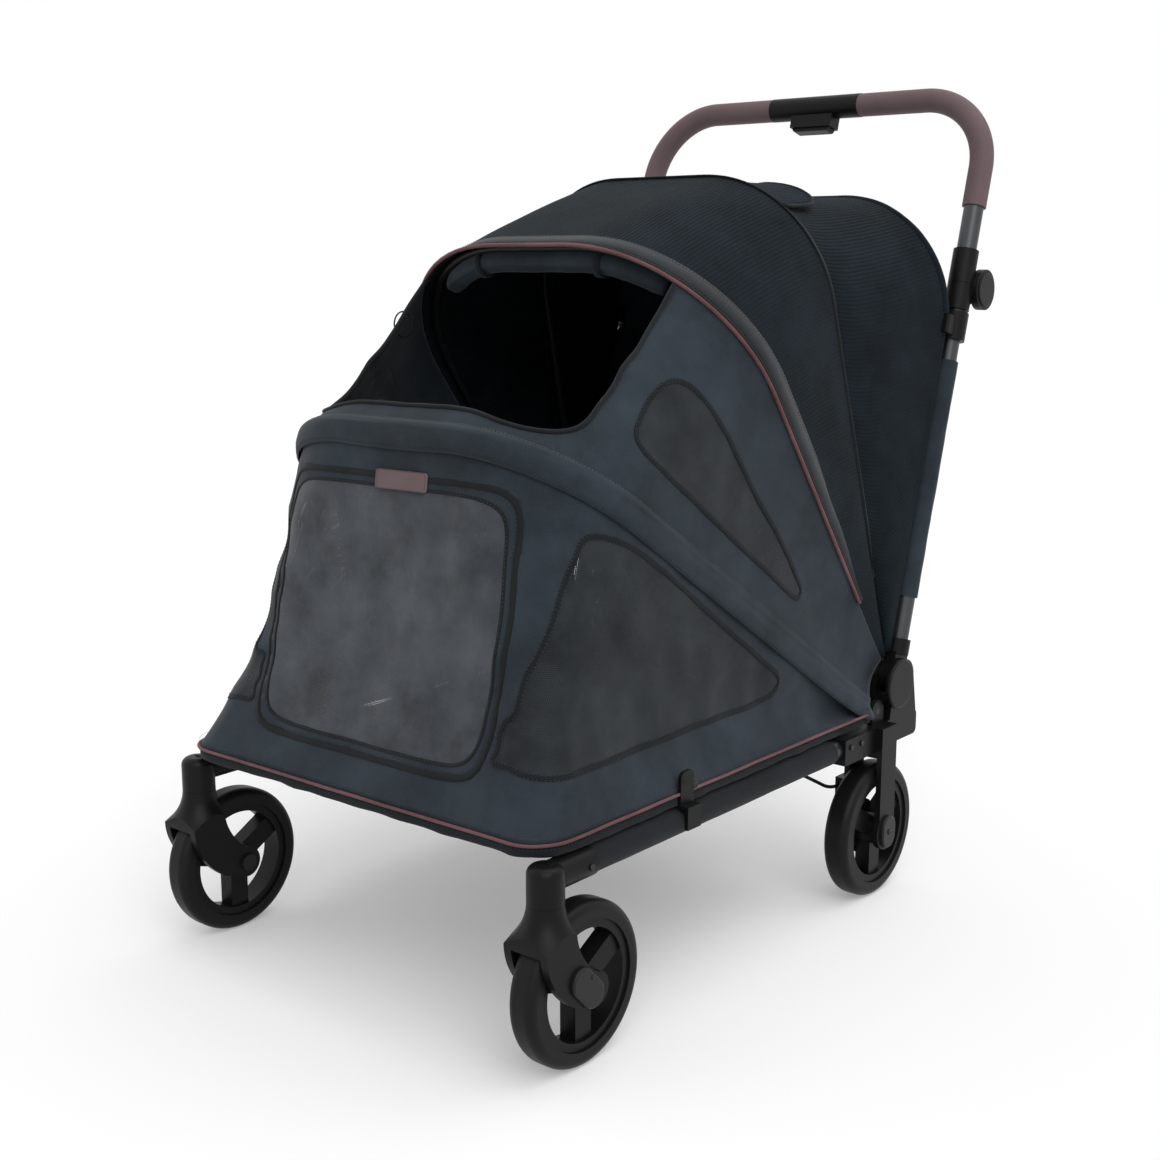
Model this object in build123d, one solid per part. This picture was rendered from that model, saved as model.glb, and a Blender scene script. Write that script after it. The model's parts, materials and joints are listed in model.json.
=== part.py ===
from build123d import *
from math import atan2, cos, degrees, pi, radians, sin, sqrt
import os

# Pet stroller, millimetres. +Z up, -Y front, +X the stroller's left side as it is pushed.
# Everything is laid out from the floor under the middle of the wheelbase and moved at the end,
# so that the origin lies on the floor under the middle of the whole stroller.

# Wheels
wheel_d = 190.0
tyre_w = 36.0
tyre_h = 20.0
tyre_shoulder = 11.0
rim_w = 30.0
rim_wall = 10.0
hub_d = 42.0
hub_w = 38.0
spoke_count = 3
spoke_w = 27.0
spoke_t = 22.0
axle_d = 8.0
bush_d = 16.0
bush_flange_d = 22.0
bush_flange_t = 1.6
track = 593.0
wheelbase = 640.0

# Brake ring and pins on the rear wheels
brake_ring_d = 76.0
brake_ring_t = 5.0
brake_hole_d = 9.0
brake_hole_count = 12
brake_pitch_r = 30.0
brake_pin_d = 6.0
brake_pin_head_d = 11.0
brake_pin_head_t = 4.0
brake_pin_travel = 5.5
brake_pin_start_gap = 1.5
brake_pin_seat_gap = 1.0

# Front casters
caster_trail = 49.5
kingpin_d = 12.0
socket_d = 42.0
socket_bottom_z = 202.0
socket_top_z = 246.0
fork_leg_t = 10.0
fork_boss_d = 40.0
fork_brow = 32.0
fork_back = 15.0
fork_knee_rise = 52.0
fork_heel_front = 71.0
fork_heel_rise = 26.0
fork_toe_front = 38.0
fork_toe_drop = 8.0
fork_shin_front = 17.0
fork_shin_rise = 36.0
fork_bell = ((24.0, 15.0), (33.0, 31.0), (50.0, 45.0), (100.0, 61.0))  # radius and depth below the top
kingpin_end_gap = 2.0
wheel_room = 6.5

# Rear fork legs
leg_t = 8.0
leg_w = 40.0
leg_end_d = 52.0
leg_gap = 3.0
cap_d = 22.0
cover_l = 60.0
cover_w = 34.0
cover_t = 5.0
front_cover_shift = 19.0
front_cover_rise = 9.0
front_cover_turn = -46.0
rear_cover_l = 46.0
cap_t = 4.0
bridge_drop = 8.0

# Base frame
rail_d = 28.0
rail_wall = 1.5
rail_z = 230.0
cross_d = 22.0
cross_wall = 1.5
cross_z = 225.0
joint_wall = 3.5
sleeve_l = 70.0
front_cross_gap = 4.0
beam_l = 120.0
beam_w = 36.0
beam_h = 35.0
beam_cover = 2.0
deck_t = 6.0
deck_half_w = 278.0
deck_rear_y = 345.0
deck_corner_r = 40.0
deck_hem_gap = 32.0
notch_gap = 2.0
cushion_t = 26.0
cushion_half_w = 252.0
cushion_margin = 14.0
cushion_draw_in = 14.0
cushion_round = 10.0
cushion_crown = 60.0

# Post hinge and posts
post_x = 290.0
post_lean = 16.0
hinge_y = 385.5
hinge_z = 298.5
ear_d = 54.0
ear_gap = 0.6
ear_t = 9.5
ear_foot_front = 18.0
ear_foot_rear = 13.0
ear_corner_r = 8.0
tongue_w = 18.0
tongue_d = 48.0
tongue_room = 8.0
hinge_pin_d = 10.0
pin_head_step = 3.0
pin_head_t = 3.0
pin_end_gap = 2.0
hinge_cover_d = 70.0
hinge_cover_forward = 18.0
hinge_cover_drop = 4.0
hinge_cover_t = 6.0
post_d = 26.0
post_wall = 1.8
knuckle_d = 34.0
knuckle_start = 31.0
knuckle_end = 54.0
knuckle_neck_inset = 6.0
knuckle_lap = 4.0
post_seat = 8.0
post_top_gap = 3.0
clip_s = 502.0
clip_h = 40.0
clip_d = 38.0
clip_reach = 28.0
clip_arm_inset = 4.0

# Handle
handle_pivot_s = 563.0
handle_pivot_back = 28.0
housing_d = 36.0
housing_h = 37.0
housing_web_rise = 2.0
lug_h = 49.0
lug_w = 13.4
lug_d = 27.6
lug_web_h = 39.0
joint_ear_d = 28.0
joint_ear_t = 8.0
joint_pin_d = 10.0
cup_d = 57.0
cup_t = 11.0
cup_floor = 2.5
button_d = 48.0
button_t = 6.5
button_travel = 4.0
button_room = 0.5
handle_d = 28.0
handle_wall = 1.8
handle_top_s = 836.0
handle_corner_r = 105.0
grip_d = 34.0
grip_start_s = 675.0
core_half_w = 77.0
core_d = 35.0
trigger_half_w = 32.0
trigger_t = 18.0
trigger_bottom_s = 797.0
trigger_root = 8.0
trigger_travel = 7.0
trigger_house_wall = 3.5
trigger_house_h = 19.0

# Bows: angle above the forward horizontal, half width at the pivot and at the top, reach and corner
rod_d = 9.0
eye_d = 20.0
eye_t = 8.0
slot_pitch = 10.0
slot_gap = 1.0
hoop_pivot_y = 325.0
hoop_pivot_z = 262.0
hoop_pin_d = 8.0
hoop_slot_x = 268.0
tab_t = 7.0
tab_d = 32.0
hoop_angle = 34.3
hoop_half_w = 245.0
hoop_reach = 749.0
hoop_corner_r = 177.0
canopy_angle = 53.1
canopy_half_w = 282.0
canopy_reach = 740.0
canopy_corner_r = 218.0
canopy_bow_set_back = 1.2
canopy_bow_room = 5.0
middle_angle = 76.1
middle_half_w = 243.0
middle_reach = 704.0
middle_corner_r = 174.0
rear_bow_tilt = 26.0
rear_bow_rise = 171.0
rear_bow_corner_r = 148.0
rear_arch_start = 16.0

# Fabric
cloth_t = 2.0
cloth_gap = 0.4
seam_angle = 0.05
cloth_pivot_half_w = 294.0
canopy_pivot_half_w = 283.0
canopy_foot_room = 17.1
cloth_start = 75.0
hem_half_w = 302.0
hem_front_y = -383.0
hem_corner_r = 45.0
hem_z = 265.0
hem_drop = 17.0
front_draw_in = 24.0
side_draw_in = 10.0
draw_levels = (0.15, 0.45, 0.75)
draw_skew = 0.8
hem_rear_y = 290.0
rail_sleeve_gap = 1.5
rail_sleeve_t = 1.7
rail_sleeve_rear_y = 205.0
door_half_w_top = 190.0
door_half_w_bottom = 194.0
door_bottom_z = 306.0
door_top_z = 628.0
door_corner_r = 45.0
door_gap = 0.6
door_cut_front = 50.0
door_cut_depth = 260.0
mouth_half_w = 200.0
mouth_front_y = -262.0
mouth_corner_r = 70.0
roll_d = 30.0
roll_half_angle = 38.0
panel_half_w = 268.0
panel_foot_half_w = 238.0
panel_foot_s = -58.0
panel_step_s = 118.0
canopy_split_s = 512.0
wing_start = 78.0
wing_post_gap = 2.0
wing_clip_gap = 1.0

# Brake pedal and cables
pedal_half_w = 42.0
pedal_arm_half_w = 25.0
pedal_sleeve_wall = 4.0
pedal_l = 92.0
pedal_t = 8.0
pedal_pad_l = 34.0
pedal_pad_t = 19.0
pedal_drop = 12.0
stop_x = 62.0
stop_t = 14.0
cable_d = 5.0
cable_lead = 75.0
cable_sweep_x = 60.0
cable_sweep_y = 140.0
cable_turn_x = 75.0
cable_turn_y = 165.0
cable_side_x = 6.0
cable_side_y = 130.0
cable_side_run = 70.0
cable_rise = 24.0
cable_end_run = 25.0
cable_dips = (2.0, 3.0, 10.0)
cable_bends = (30.0, 60.0, 60.0, 48.0, 45.0, 24.0)
brake_box_t = 15.0
brake_box_w = 36.0
brake_box_h = 52.0
brake_box_floor = 8.0
brake_box_wall = 2.0

# Side clips and screws
clip_plate_y = -128.0
clip_plate_w = 26.0
clip_plate_top_z = 291.0
clip_plate_t = 4.5
screw_head_d = 8.0
screw_head_t = 2.4
screw_first = 15.0
screw_pitch = 27.0
screw_rise = 4.0
corner_screw_inset = 14.0

# Fits
press_gap = 0.1
run_gap = 0.05
face_gap = 0.3
over = 1.0  # how far a cutter runs past what it cuts

# Places that follow from the sizes above
wheel_r = wheel_d / 2
rim_r = wheel_r - tyre_h
wheel_x = track / 2
front_y = -wheelbase / 2
rear_y = wheelbase / 2
caster_y = front_y - caster_trail
rail_r = rail_d / 2
cross_r = cross_d / 2
rail_sleeve_front_y = caster_y + sleeve_l + rail_sleeve_gap
front_cross_y = caster_y + sleeve_l + cross_r + front_cross_gap
deck_z = cross_z + cross_r
deck_front_y = hem_front_y + cloth_t + deck_hem_gap
lean = radians(post_lean)
leg_inner_x = wheel_x - tyre_w / 2 - leg_gap - leg_t
leg_outer_x = wheel_x + tyre_w / 2 + leg_gap
trigger_h = trigger_root + trigger_travel
beam_top_z = rail_z + rail_r + beam_cover
beam_bottom_z = beam_top_z - beam_h
beam_front_y = rear_y + leg_w / 2 - beam_l
ear_inner_x = post_x - tongue_w / 2 - ear_gap
ear_outer_x = post_x + tongue_w / 2 + ear_gap
ear_rear_y = hinge_y + ear_d / 2 + ear_foot_rear
tab_x = hoop_slot_x + 2 * slot_pitch + eye_t
brake_pin_z = wheel_r + brake_pitch_r
brake_box_bottom_z = brake_pin_z - brake_pin_head_d / 2 - brake_box_floor
canopy_fall = max(canopy_reach - middle_reach, canopy_half_w - middle_half_w, 0)
canopy_bow_drop = canopy_bow_room + canopy_fall * canopy_bow_set_back / (middle_angle - canopy_angle)
rear_end_y = hinge_y + handle_top_s * sin(lean) + core_d / 2
front_end_y = front_y - wheel_r
origin_y = (rear_end_y + front_end_y) / 2

os.makedirs("parts", exist_ok=True)


def along_x(diameter, x0, x1, y, z):
    """Cylinder along X from x0 to x1."""
    return Pos((x0 + x1) / 2, y, z) * Rot(0, 90, 0) * Cylinder(diameter / 2, abs(x1 - x0))


def along_y(diameter, y0, y1, x, z):
    """Cylinder along Y from y0 to y1."""
    return Pos(x, (y0 + y1) / 2, z) * Rot(90, 0, 0) * Cylinder(diameter / 2, abs(y1 - y0))


def along_z(diameter, z0, z1, x, y):
    """Cylinder along Z from z0 to z1."""
    return Pos(x, y, (z0 + z1) / 2) * Cylinder(diameter / 2, abs(z1 - z0))


def block(x0, x1, y0, y1, z0, z1):
    """Box between two corners."""
    centre = Pos((x0 + x1) / 2, (y0 + y1) / 2, (z0 + z1) / 2)
    return centre * Box(abs(x1 - x0), abs(y1 - y0), abs(z1 - z0))


def plate_yz(outline, x0, x1):
    """Plate between x0 and x1 whose side view is a sketch of (y, z)."""
    side = Plane(origin=(x0, 0, 0), x_dir=(0, 1, 0), z_dir=(1, 0, 0))
    return extrude(side * outline, x1 - x0)


def tube_along(path, outer_d, inner_d):
    """Tube of the given diameters swept along a path."""
    start = Plane(origin=path @ 0, z_dir=path % 0)
    return sweep(start * (Circle(outer_d / 2) - Circle(inner_d / 2)), path=path)


def rod_along(path, diameter):
    """Round rod swept along a path."""
    return sweep(Plane(origin=path @ 0, z_dir=path % 0) * Circle(diameter / 2), path=path)


def both_sides(shape):
    """A left-hand shape and its mirror image."""
    return [shape, mirror(shape, about=Plane.YZ)]


def bow_plane(y, z, angle):
    """Plane through a cross axis, with its own Y rising forward at the angle."""
    a = radians(angle)
    return Plane(origin=(0, y, z), x_dir=(1, 0, 0), z_dir=(0, -sin(a), -cos(a)))


def u_line(foot_half_w, half_w, reach, corner_r, start):
    """U-shaped line: two legs that lean from the foot width to the top width, and a top bar."""
    start_half_w = foot_half_w + (half_w - foot_half_w) * start / reach
    points = [(start_half_w, start), (half_w, reach), (-half_w, reach), (-start_half_w, start)]
    return FilletPolyline(*points, radius=corner_r)


def u_band(plane, foot_half_w, half_w, reach, corner_r, start):
    """Cut through a sheet of cloth that hangs over a U-shaped line."""
    outer = u_line(foot_half_w, half_w, reach, corner_r, start)
    inner = u_line(foot_half_w - cloth_t, half_w - cloth_t, reach - cloth_t, corner_r - cloth_t, start)
    ends = Line(outer @ 0, inner @ 0) + Line(outer @ 1, inner @ 1)
    return plane * make_face(outer + inner + ends)


def post_frame(x):
    """Frame on a post: X across, Y to the rear, Z up along the post from its hinge."""
    return Plane(origin=(x, hinge_y, hinge_z), x_dir=(1, 0, 0), z_dir=(0, sin(lean), cos(lean)))


# Wheels: tyre, spoked rim and, on the rear pair, the brake's ring of holes

def tyre(y):
    ring = along_x(wheel_d, wheel_x - tyre_w / 2, wheel_x + tyre_w / 2, y, wheel_r)
    ring = fillet(ring.edges().filter_by(GeomType.CIRCLE), tyre_shoulder)
    return ring - along_x(2 * rim_r, wheel_x - tyre_w, wheel_x + tyre_w, y, wheel_r)


def rim(y, braked):
    seat_d = 2 * rim_r - 2 * press_gap
    ring = along_x(seat_d, wheel_x - rim_w / 2, wheel_x + rim_w / 2, y, wheel_r)
    ring -= along_x(seat_d - 2 * rim_wall, wheel_x - rim_w, wheel_x + rim_w, y, wheel_r)
    hub = along_x(hub_d, wheel_x - hub_w / 2, wheel_x + hub_w / 2, y, wheel_r)
    body = ring + hub
    spoke_l = rim_r - rim_wall / 2
    for k in range(spoke_count):
        arm = Pos(0, 0, spoke_l / 2) * Box(spoke_t, spoke_w, spoke_l)
        body += Pos(wheel_x, y, wheel_r) * Rot(180 + k * 360 / spoke_count, 0, 0) * arm
    if braked:
        face = wheel_x - spoke_t / 2
        disc = along_x(brake_ring_d, face - brake_ring_t, face, y, wheel_r)
        for k in range(brake_hole_count):
            a = radians(90 + k * 360 / brake_hole_count)
            hole_y = y + brake_pitch_r * cos(a)
            hole_z = wheel_r + brake_pitch_r * sin(a)
            disc -= along_x(brake_hole_d, face - 2 * brake_ring_t, face, hole_y, hole_z)
        body += disc
    return body - along_x(bush_d + 2 * run_gap, wheel_x - hub_w, wheel_x + hub_w, y, wheel_r)


def bushes(y):
    """The two flanged bushes that carry a wheel on its axle."""
    seats = []
    for side in (-1, 1):
        outer_x = wheel_x + side * (hub_w / 2 + face_gap)
        inner_x = wheel_x + side * face_gap
        bush = along_x(bush_d, inner_x, outer_x, y, wheel_r)
        bush += along_x(bush_flange_d, outer_x, outer_x + side * bush_flange_t, y, wheel_r)
        bore = along_x(axle_d + 2 * press_gap, inner_x - side * over, outer_x + side * hub_w, y, wheel_r)
        seats.append(bush - bore)
    return seats


def axle(y, inner_face, outer_face, cover):
    """Axle bolt through both legs, with a round cap inside and an oblong cover outside."""
    bolt = along_x(axle_d, inner_face - cap_t, outer_face + cover_t / 2, y, wheel_r)
    plate = plate_yz(cover, outer_face, outer_face + cover_t)
    plate = fillet(plate.faces().sort_by(Axis.X)[-1].edges(), cover_t / 2)
    return bolt + plate + along_x(cap_d, inner_face - cap_t, inner_face, y, wheel_r)


def front_cover():
    spot = Pos(front_y - front_cover_shift, wheel_r + front_cover_rise)
    return spot * Rot(0, 0, front_cover_turn) * SlotOverall(cover_l, cover_w)


def rear_cover():
    return Pos(rear_y, wheel_r) * Rot(0, 0, 90) * SlotOverall(rear_cover_l, cover_w)


# Front casters: fixed corner castings with kingpins, and the forks that swivel on them

def front_corner():
    socket = along_z(socket_d, socket_bottom_z, socket_top_z, wheel_x, caster_y)
    socket = fillet(socket.edges().sort_by(Axis.Z)[-1:], socket_d / 4)
    rail_arm = along_y(rail_d + 2 * joint_wall, caster_y, caster_y + sleeve_l, wheel_x, rail_z)
    body = socket + rail_arm
    rail_stop = caster_y + socket_d / 2 + joint_wall
    body -= along_y(rail_d + 2 * press_gap, rail_stop, caster_y + 2 * sleeve_l, wheel_x, rail_z)
    kingpin_top = socket_top_z - 2 * joint_wall
    return body - along_z(kingpin_d + 2 * press_gap, socket_bottom_z - over, kingpin_top, wheel_x, caster_y)


def fork_crown_bottom():
    """Height at which the wheel's clearance circle passes under the kingpin."""
    room_r = wheel_r + wheel_room
    return wheel_r + sqrt(room_r ** 2 - caster_trail ** 2)


def kingpin():
    bottom = fork_crown_bottom() + kingpin_end_gap
    top = socket_top_z - 2 * joint_wall - face_gap
    return along_z(kingpin_d, bottom, top, wheel_x, caster_y)


def fork_outline(top):
    """Side view of a fork: legs that drop from the crown and sweep back to the axle."""
    boss_r = fork_boss_d / 2
    knee_z = wheel_r + fork_knee_rise
    brow_y = caster_y - fork_brow
    front = Spline(
        (caster_y - socket_d / 2, top), (brow_y, (top + knee_z) / 2), (brow_y, knee_z),
        (front_y - fork_heel_front, wheel_r + fork_heel_rise),
        (front_y - fork_toe_front, wheel_r - fork_toe_drop))
    rim_point = boss_r * sin(pi / 4)
    back = Spline(
        (front_y + rim_point, wheel_r + rim_point), (front_y - fork_shin_front, wheel_r + fork_shin_rise),
        (caster_y + fork_back, (top + knee_z) / 2), (caster_y + socket_d / 2, top))
    foot = (front_y, wheel_r - boss_r)
    face = make_face(front + Line(front @ 1, foot) + Line(foot, back @ 0) + back + Line(back @ 1, front @ 0))
    return face + Pos(front_y, wheel_r) * Circle(boss_r)


def caster_fork():
    """Fork with a crown that flares like a bell from the neck to the two legs."""
    half_w = tyre_w / 2 + leg_gap + fork_leg_t
    top = socket_bottom_z - face_gap
    body = plate_yz(fork_outline(top), wheel_x - half_w, wheel_x + half_w)
    flare = Spline((socket_d / 2, top), *[(radius, top - depth) for radius, depth in fork_bell])
    end = flare @ 1
    wide = 2 * wheel_d
    corners = [(wide, end.Y), (wide, -over), (0, -over), (0, top)]
    sides = Polyline((end.X, end.Y), *corners, (socket_d / 2, top))
    bell = revolve(Plane.XZ * make_face(flare + sides), axis=Axis.Z)
    body &= Pos(wheel_x, caster_y, 0) * bell
    slot_half_w = tyre_w / 2 + leg_gap
    room_d = wheel_d + 2 * wheel_room
    body -= along_x(room_d, wheel_x - slot_half_w, wheel_x + slot_half_w, front_y, wheel_r)
    body -= along_z(kingpin_d + 2 * run_gap, wheel_r, top + over, wheel_x, caster_y)
    ends = (wheel_x - 2 * half_w, wheel_x + 2 * half_w)
    return body - along_x(axle_d + 2 * press_gap, *ends, front_y, wheel_r)


# Rear bracket: rail socket, two fork legs, hinge ears, bow tab, brake box and cross tube socket

def ear_outline():
    front_foot_y = hinge_y - ear_d / 2 - ear_foot_front
    web = make_face(Polyline(
        (hinge_y - ear_d / 2, hinge_z), (hinge_y + ear_d / 2, hinge_z),
        (ear_rear_y, beam_bottom_z + beam_h / 2), (ear_rear_y, beam_bottom_z), (front_foot_y, beam_bottom_z),
        close=True))
    web = fillet(web.vertices().group_by(Axis.X)[-1], ear_corner_r)
    return web + Pos(hinge_y, hinge_z) * Circle(ear_d / 2)


def rounded_rear(solid):
    """Block with its two edges across the rear rounded like the ears."""
    return fillet(solid.edges().filter_by(Axis.X).group_by(Axis.Y)[-1], ear_corner_r)


def rear_bracket():
    body = plate_yz(ear_outline(), ear_inner_x - ear_t, ear_inner_x)
    body += plate_yz(ear_outline(), ear_outer_x, ear_outer_x + ear_t)
    base_top = hinge_z - tongue_d / 2 - tongue_room
    beam = block(ear_inner_x - ear_t, ear_outer_x + ear_t, rear_y, ear_rear_y, beam_bottom_z, beam_top_z)
    body += rounded_rear(beam)
    base_y = (hinge_y - ear_d / 2, ear_rear_y)
    body += rounded_rear(block(ear_inner_x - over, ear_outer_x + over, *base_y, beam_bottom_z, base_top))
    beam_x = (wheel_x - beam_w / 2, wheel_x + beam_w / 2)
    body += block(*beam_x, beam_front_y, rear_y, beam_bottom_z, beam_top_z)
    bridge_y = (rear_y - leg_w / 2, rear_y + leg_w / 2)
    body += block(leg_inner_x, leg_outer_x + leg_t, *bridge_y, beam_bottom_z - bridge_drop, beam_top_z)
    leg = Pos(rear_y, (wheel_r + beam_bottom_z) / 2) * Rectangle(leg_w, beam_bottom_z - wheel_r)
    leg += Pos(rear_y, wheel_r) * Circle(leg_end_d / 2)
    body += plate_yz(leg, leg_inner_x, leg_inner_x + leg_t)
    body += plate_yz(leg, leg_outer_x, leg_outer_x + leg_t)
    body += along_x(tab_d, tab_x, tab_x + tab_t, hoop_pivot_y, hoop_pivot_z)
    tab_y = (hoop_pivot_y - tab_d / 2, hoop_pivot_y + tab_d / 2)
    body += block(tab_x, tab_x + tab_t, *tab_y, beam_bottom_z, hoop_pivot_z)
    box_y = (rear_y - brake_box_w / 2, rear_y + brake_box_w / 2)
    box_z = (brake_box_bottom_z, brake_box_bottom_z + brake_box_h)
    body += block(leg_inner_x - brake_box_t, leg_inner_x, *box_y, *box_z)
    boss_x = leg_inner_x - brake_box_t
    body += along_x(cross_d + 2 * joint_wall, boss_x, leg_inner_x, rear_y, cross_z)
    return body - bracket_bores()


def bracket_bores():
    """Everything that is bored out of a rear bracket."""
    inner_x = leg_inner_x - 2 * brake_box_t
    outer_x = leg_outer_x + 2 * leg_t
    bores = along_y(rail_d + 2 * press_gap, beam_front_y - over, rear_y - leg_w / 2, wheel_x, rail_z)
    bores += along_x(axle_d + 2 * press_gap, inner_x, outer_x, rear_y, wheel_r)
    bores += along_x(cross_d + 2 * press_gap, inner_x, leg_inner_x, rear_y, cross_z)
    bores += along_x(hoop_pin_d + 2 * press_gap, hoop_slot_x, outer_x, hoop_pivot_y, hoop_pivot_z)
    bores += along_x(hinge_pin_d + 2 * press_gap, inner_x, outer_x, hinge_y, hinge_z)
    leg_x = (leg_inner_x - over, leg_inner_x + leg_t + over)
    bores += along_x(brake_pin_d + 2 * run_gap, *leg_x, rear_y, brake_pin_z)
    pocket_d = brake_pin_head_d + 2 * face_gap
    pocket_x = leg_inner_x - brake_box_t + brake_box_wall
    return bores + along_x(pocket_d, pocket_x, leg_inner_x, rear_y, brake_pin_z)


def brake_pin():
    tip_x = wheel_x - spoke_t / 2 - brake_ring_t - brake_pin_start_gap
    head_x = leg_inner_x - brake_pin_head_t - brake_pin_travel - brake_pin_seat_gap
    pin = along_x(brake_pin_d, head_x, tip_x, rear_y, brake_pin_z)
    return pin + along_x(brake_pin_head_d, head_x, head_x + brake_pin_head_t, rear_y, brake_pin_z)


# Base: rails, cross tubes, deck and cushion

def side_rail():
    y0 = caster_y + socket_d / 2 + joint_wall + face_gap
    y1 = rear_y - leg_w / 2 - face_gap
    bore = along_y(rail_d - 2 * rail_wall, y0 - over, y1 + over, wheel_x, rail_z)
    return along_y(rail_d, y0, y1, wheel_x, rail_z) - bore


def cross_tube(half_l, y):
    tube = along_x(cross_d, -half_l, half_l, y, cross_z)
    return tube - along_x(cross_d - 2 * cross_wall, -half_l - over, half_l + over, y, cross_z)


def front_cross_tube():
    """Tube between the side rails, with its ends coped to fit them."""
    tube = cross_tube(wheel_x - rail_r / 2, front_cross_y)
    for side in (-1, 1):
        tube -= along_y(rail_d + 2 * press_gap, caster_y, rear_y, side * wheel_x, rail_z)
    return tube


def deck_board():
    length = deck_rear_y - deck_front_y
    outline = RectangleRounded(2 * deck_half_w, length, deck_corner_r)
    board = extrude(Pos(0, (deck_rear_y + deck_front_y) / 2, deck_z) * outline, deck_t)
    rear_notch_x = leg_inner_x - brake_box_t - notch_gap
    rear_notch_y = rear_y - leg_w / 2 - notch_gap
    levels = (deck_z - over, deck_z + deck_t + over)
    for side in (-1, 1):
        edge_x = side * (deck_half_w + over)
        board -= block(side * rear_notch_x, edge_x, rear_notch_y, deck_rear_y + over, *levels)
    pedal_notch_x = max(stop_x + stop_t / 2, pedal_half_w) + notch_gap
    pedal_notch_y = rear_y - cross_d - 2 * pedal_sleeve_wall - notch_gap
    return board - block(-pedal_notch_x, pedal_notch_x, pedal_notch_y, deck_rear_y + over, *levels)


def floor_cushion():
    """Crowned pad with drawn-in sides, in four levels."""
    bottom = deck_z + deck_t + face_gap
    y0 = deck_front_y + cushion_margin
    y1 = hoop_pivot_y
    insets = [cushion_draw_in, 0.0, cushion_round, cushion_crown]
    sections = []
    for level, inset in enumerate(insets):
        outline = RectangleRounded(2 * (cushion_half_w - inset), y1 - y0 - 2 * inset, deck_corner_r)
        sections.append(Pos(0, (y0 + y1) / 2, bottom + cushion_t * level / (len(insets) - 1)) * outline)
    return loft(sections, ruled=True)


# Brake pedal on the rear cross tube, its cable stops and the two cables

def brake_pedal():
    sleeve_d = cross_d + 2 * pedal_sleeve_wall
    body = along_x(sleeve_d, -pedal_half_w, pedal_half_w, rear_y, cross_z)
    pad_y = rear_y + pedal_l
    arm = make_face(Polyline(
        (rear_y, cross_z + pedal_t / 2), (pad_y, cross_z - pedal_drop + pedal_t / 2),
        (pad_y, cross_z - pedal_drop - pedal_t / 2), (rear_y, cross_z - pedal_t / 2), close=True))
    body += plate_yz(arm, -pedal_arm_half_w, pedal_arm_half_w)
    pad = block(-pedal_half_w, pedal_half_w, pad_y - pedal_pad_l, pad_y,
                cross_z - pedal_drop - pedal_pad_t / 2, cross_z - pedal_drop + pedal_pad_t / 2)
    body += fillet(pad.edges().filter_by(Axis.Z), pedal_pad_l / 4)
    return body - along_x(cross_d + 2 * run_gap, -2 * pedal_half_w, 2 * pedal_half_w, rear_y, cross_z)


def cable_stop():
    sleeve_d = cross_d + 2 * pedal_sleeve_wall
    body = along_x(sleeve_d, stop_x - stop_t / 2, stop_x + stop_t / 2, rear_y, cross_z)
    body += block(stop_x - stop_t / 2, stop_x + stop_t / 2, rear_y - sleeve_d, rear_y,
                  cross_z - cable_d * 1.5, cross_z + cable_d * 1.5)
    return body - along_x(cross_d + 2 * press_gap, stop_x - stop_t, stop_x + stop_t, rear_y, cross_z)


def brake_cable():
    """Cable from its stop, forward under the deck, outward and back to the brake box."""
    start_y = rear_y - cross_d - 2 * pedal_sleeve_wall - face_gap
    box_x = leg_inner_x - brake_box_t / 2
    box_top = brake_box_bottom_z + brake_box_h
    end = (box_x, rear_y - brake_box_w / 2 - face_gap, box_top - 2 * cable_d)
    route = [
        (stop_x, start_y, cross_z), (stop_x, start_y - cable_lead, cross_z),
        (stop_x + cable_sweep_x, start_y - cable_sweep_y, cross_z - cable_dips[0]),
        (box_x - cable_turn_x, start_y - cable_turn_y, cross_z - cable_dips[1]),
        (box_x - cable_side_x, start_y - cable_side_y, cross_z - cable_dips[2]),
        (box_x, end[1] - cable_side_run, end[2] + cable_rise), (box_x, end[1] - cable_end_run, end[2]), end,
    ]
    path = FilletPolyline(*route, radius=list(cable_bends))
    cable = rod_along(path, cable_d)
    print("brake cable length", round(path.length, 1), "volume ratio",
          round(cable.volume / (path.length * pi * cable_d ** 2 / 4), 4))
    return cable


# Posts: knuckles in the hinge ears, tubes, canopy clips and the lower half of the handle joints

def knuckle():
    hinge = Rot(0, 90, 0) * Cylinder(tongue_d / 2, tongue_w)
    neck_half_d = tongue_d / 2 - knuckle_neck_inset
    neck = block(-tongue_w / 2, tongue_w / 2, -neck_half_d, neck_half_d, 0, knuckle_start + knuckle_lap)
    collar = along_z(knuckle_d, knuckle_start, knuckle_end, 0, 0)
    body = hinge + neck + collar
    body -= along_z(post_d + 2 * press_gap, knuckle_start + post_seat, knuckle_end + over, 0, 0)
    return body - along_x(hinge_pin_d + 2 * run_gap, -tongue_w, tongue_w, 0, 0)


def post_top():
    return handle_pivot_s - joint_wall - post_top_gap


def post_tube():
    bottom = knuckle_start + post_seat + face_gap
    tube = along_z(post_d, bottom, post_top(), 0, 0)
    return tube - along_z(post_d - 2 * post_wall, bottom - over, post_top() + over, 0, 0)


def rear_bow_frame():
    """Plane of the rear bow in the posts' frame, with its own Y up the bow from the clips."""
    a = radians(rear_bow_tilt)
    return Plane(origin=(0, -clip_reach, clip_s), x_dir=(1, 0, 0), z_dir=(0, -cos(a), -sin(a)))


def rear_bow_line(inset, start):
    points = [(post_x - inset, start), (post_x - inset, rear_bow_rise - inset),
              (inset - post_x, rear_bow_rise - inset), (inset - post_x, start)]
    return FilletPolyline(*points, radius=rear_bow_corner_r - inset)


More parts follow.
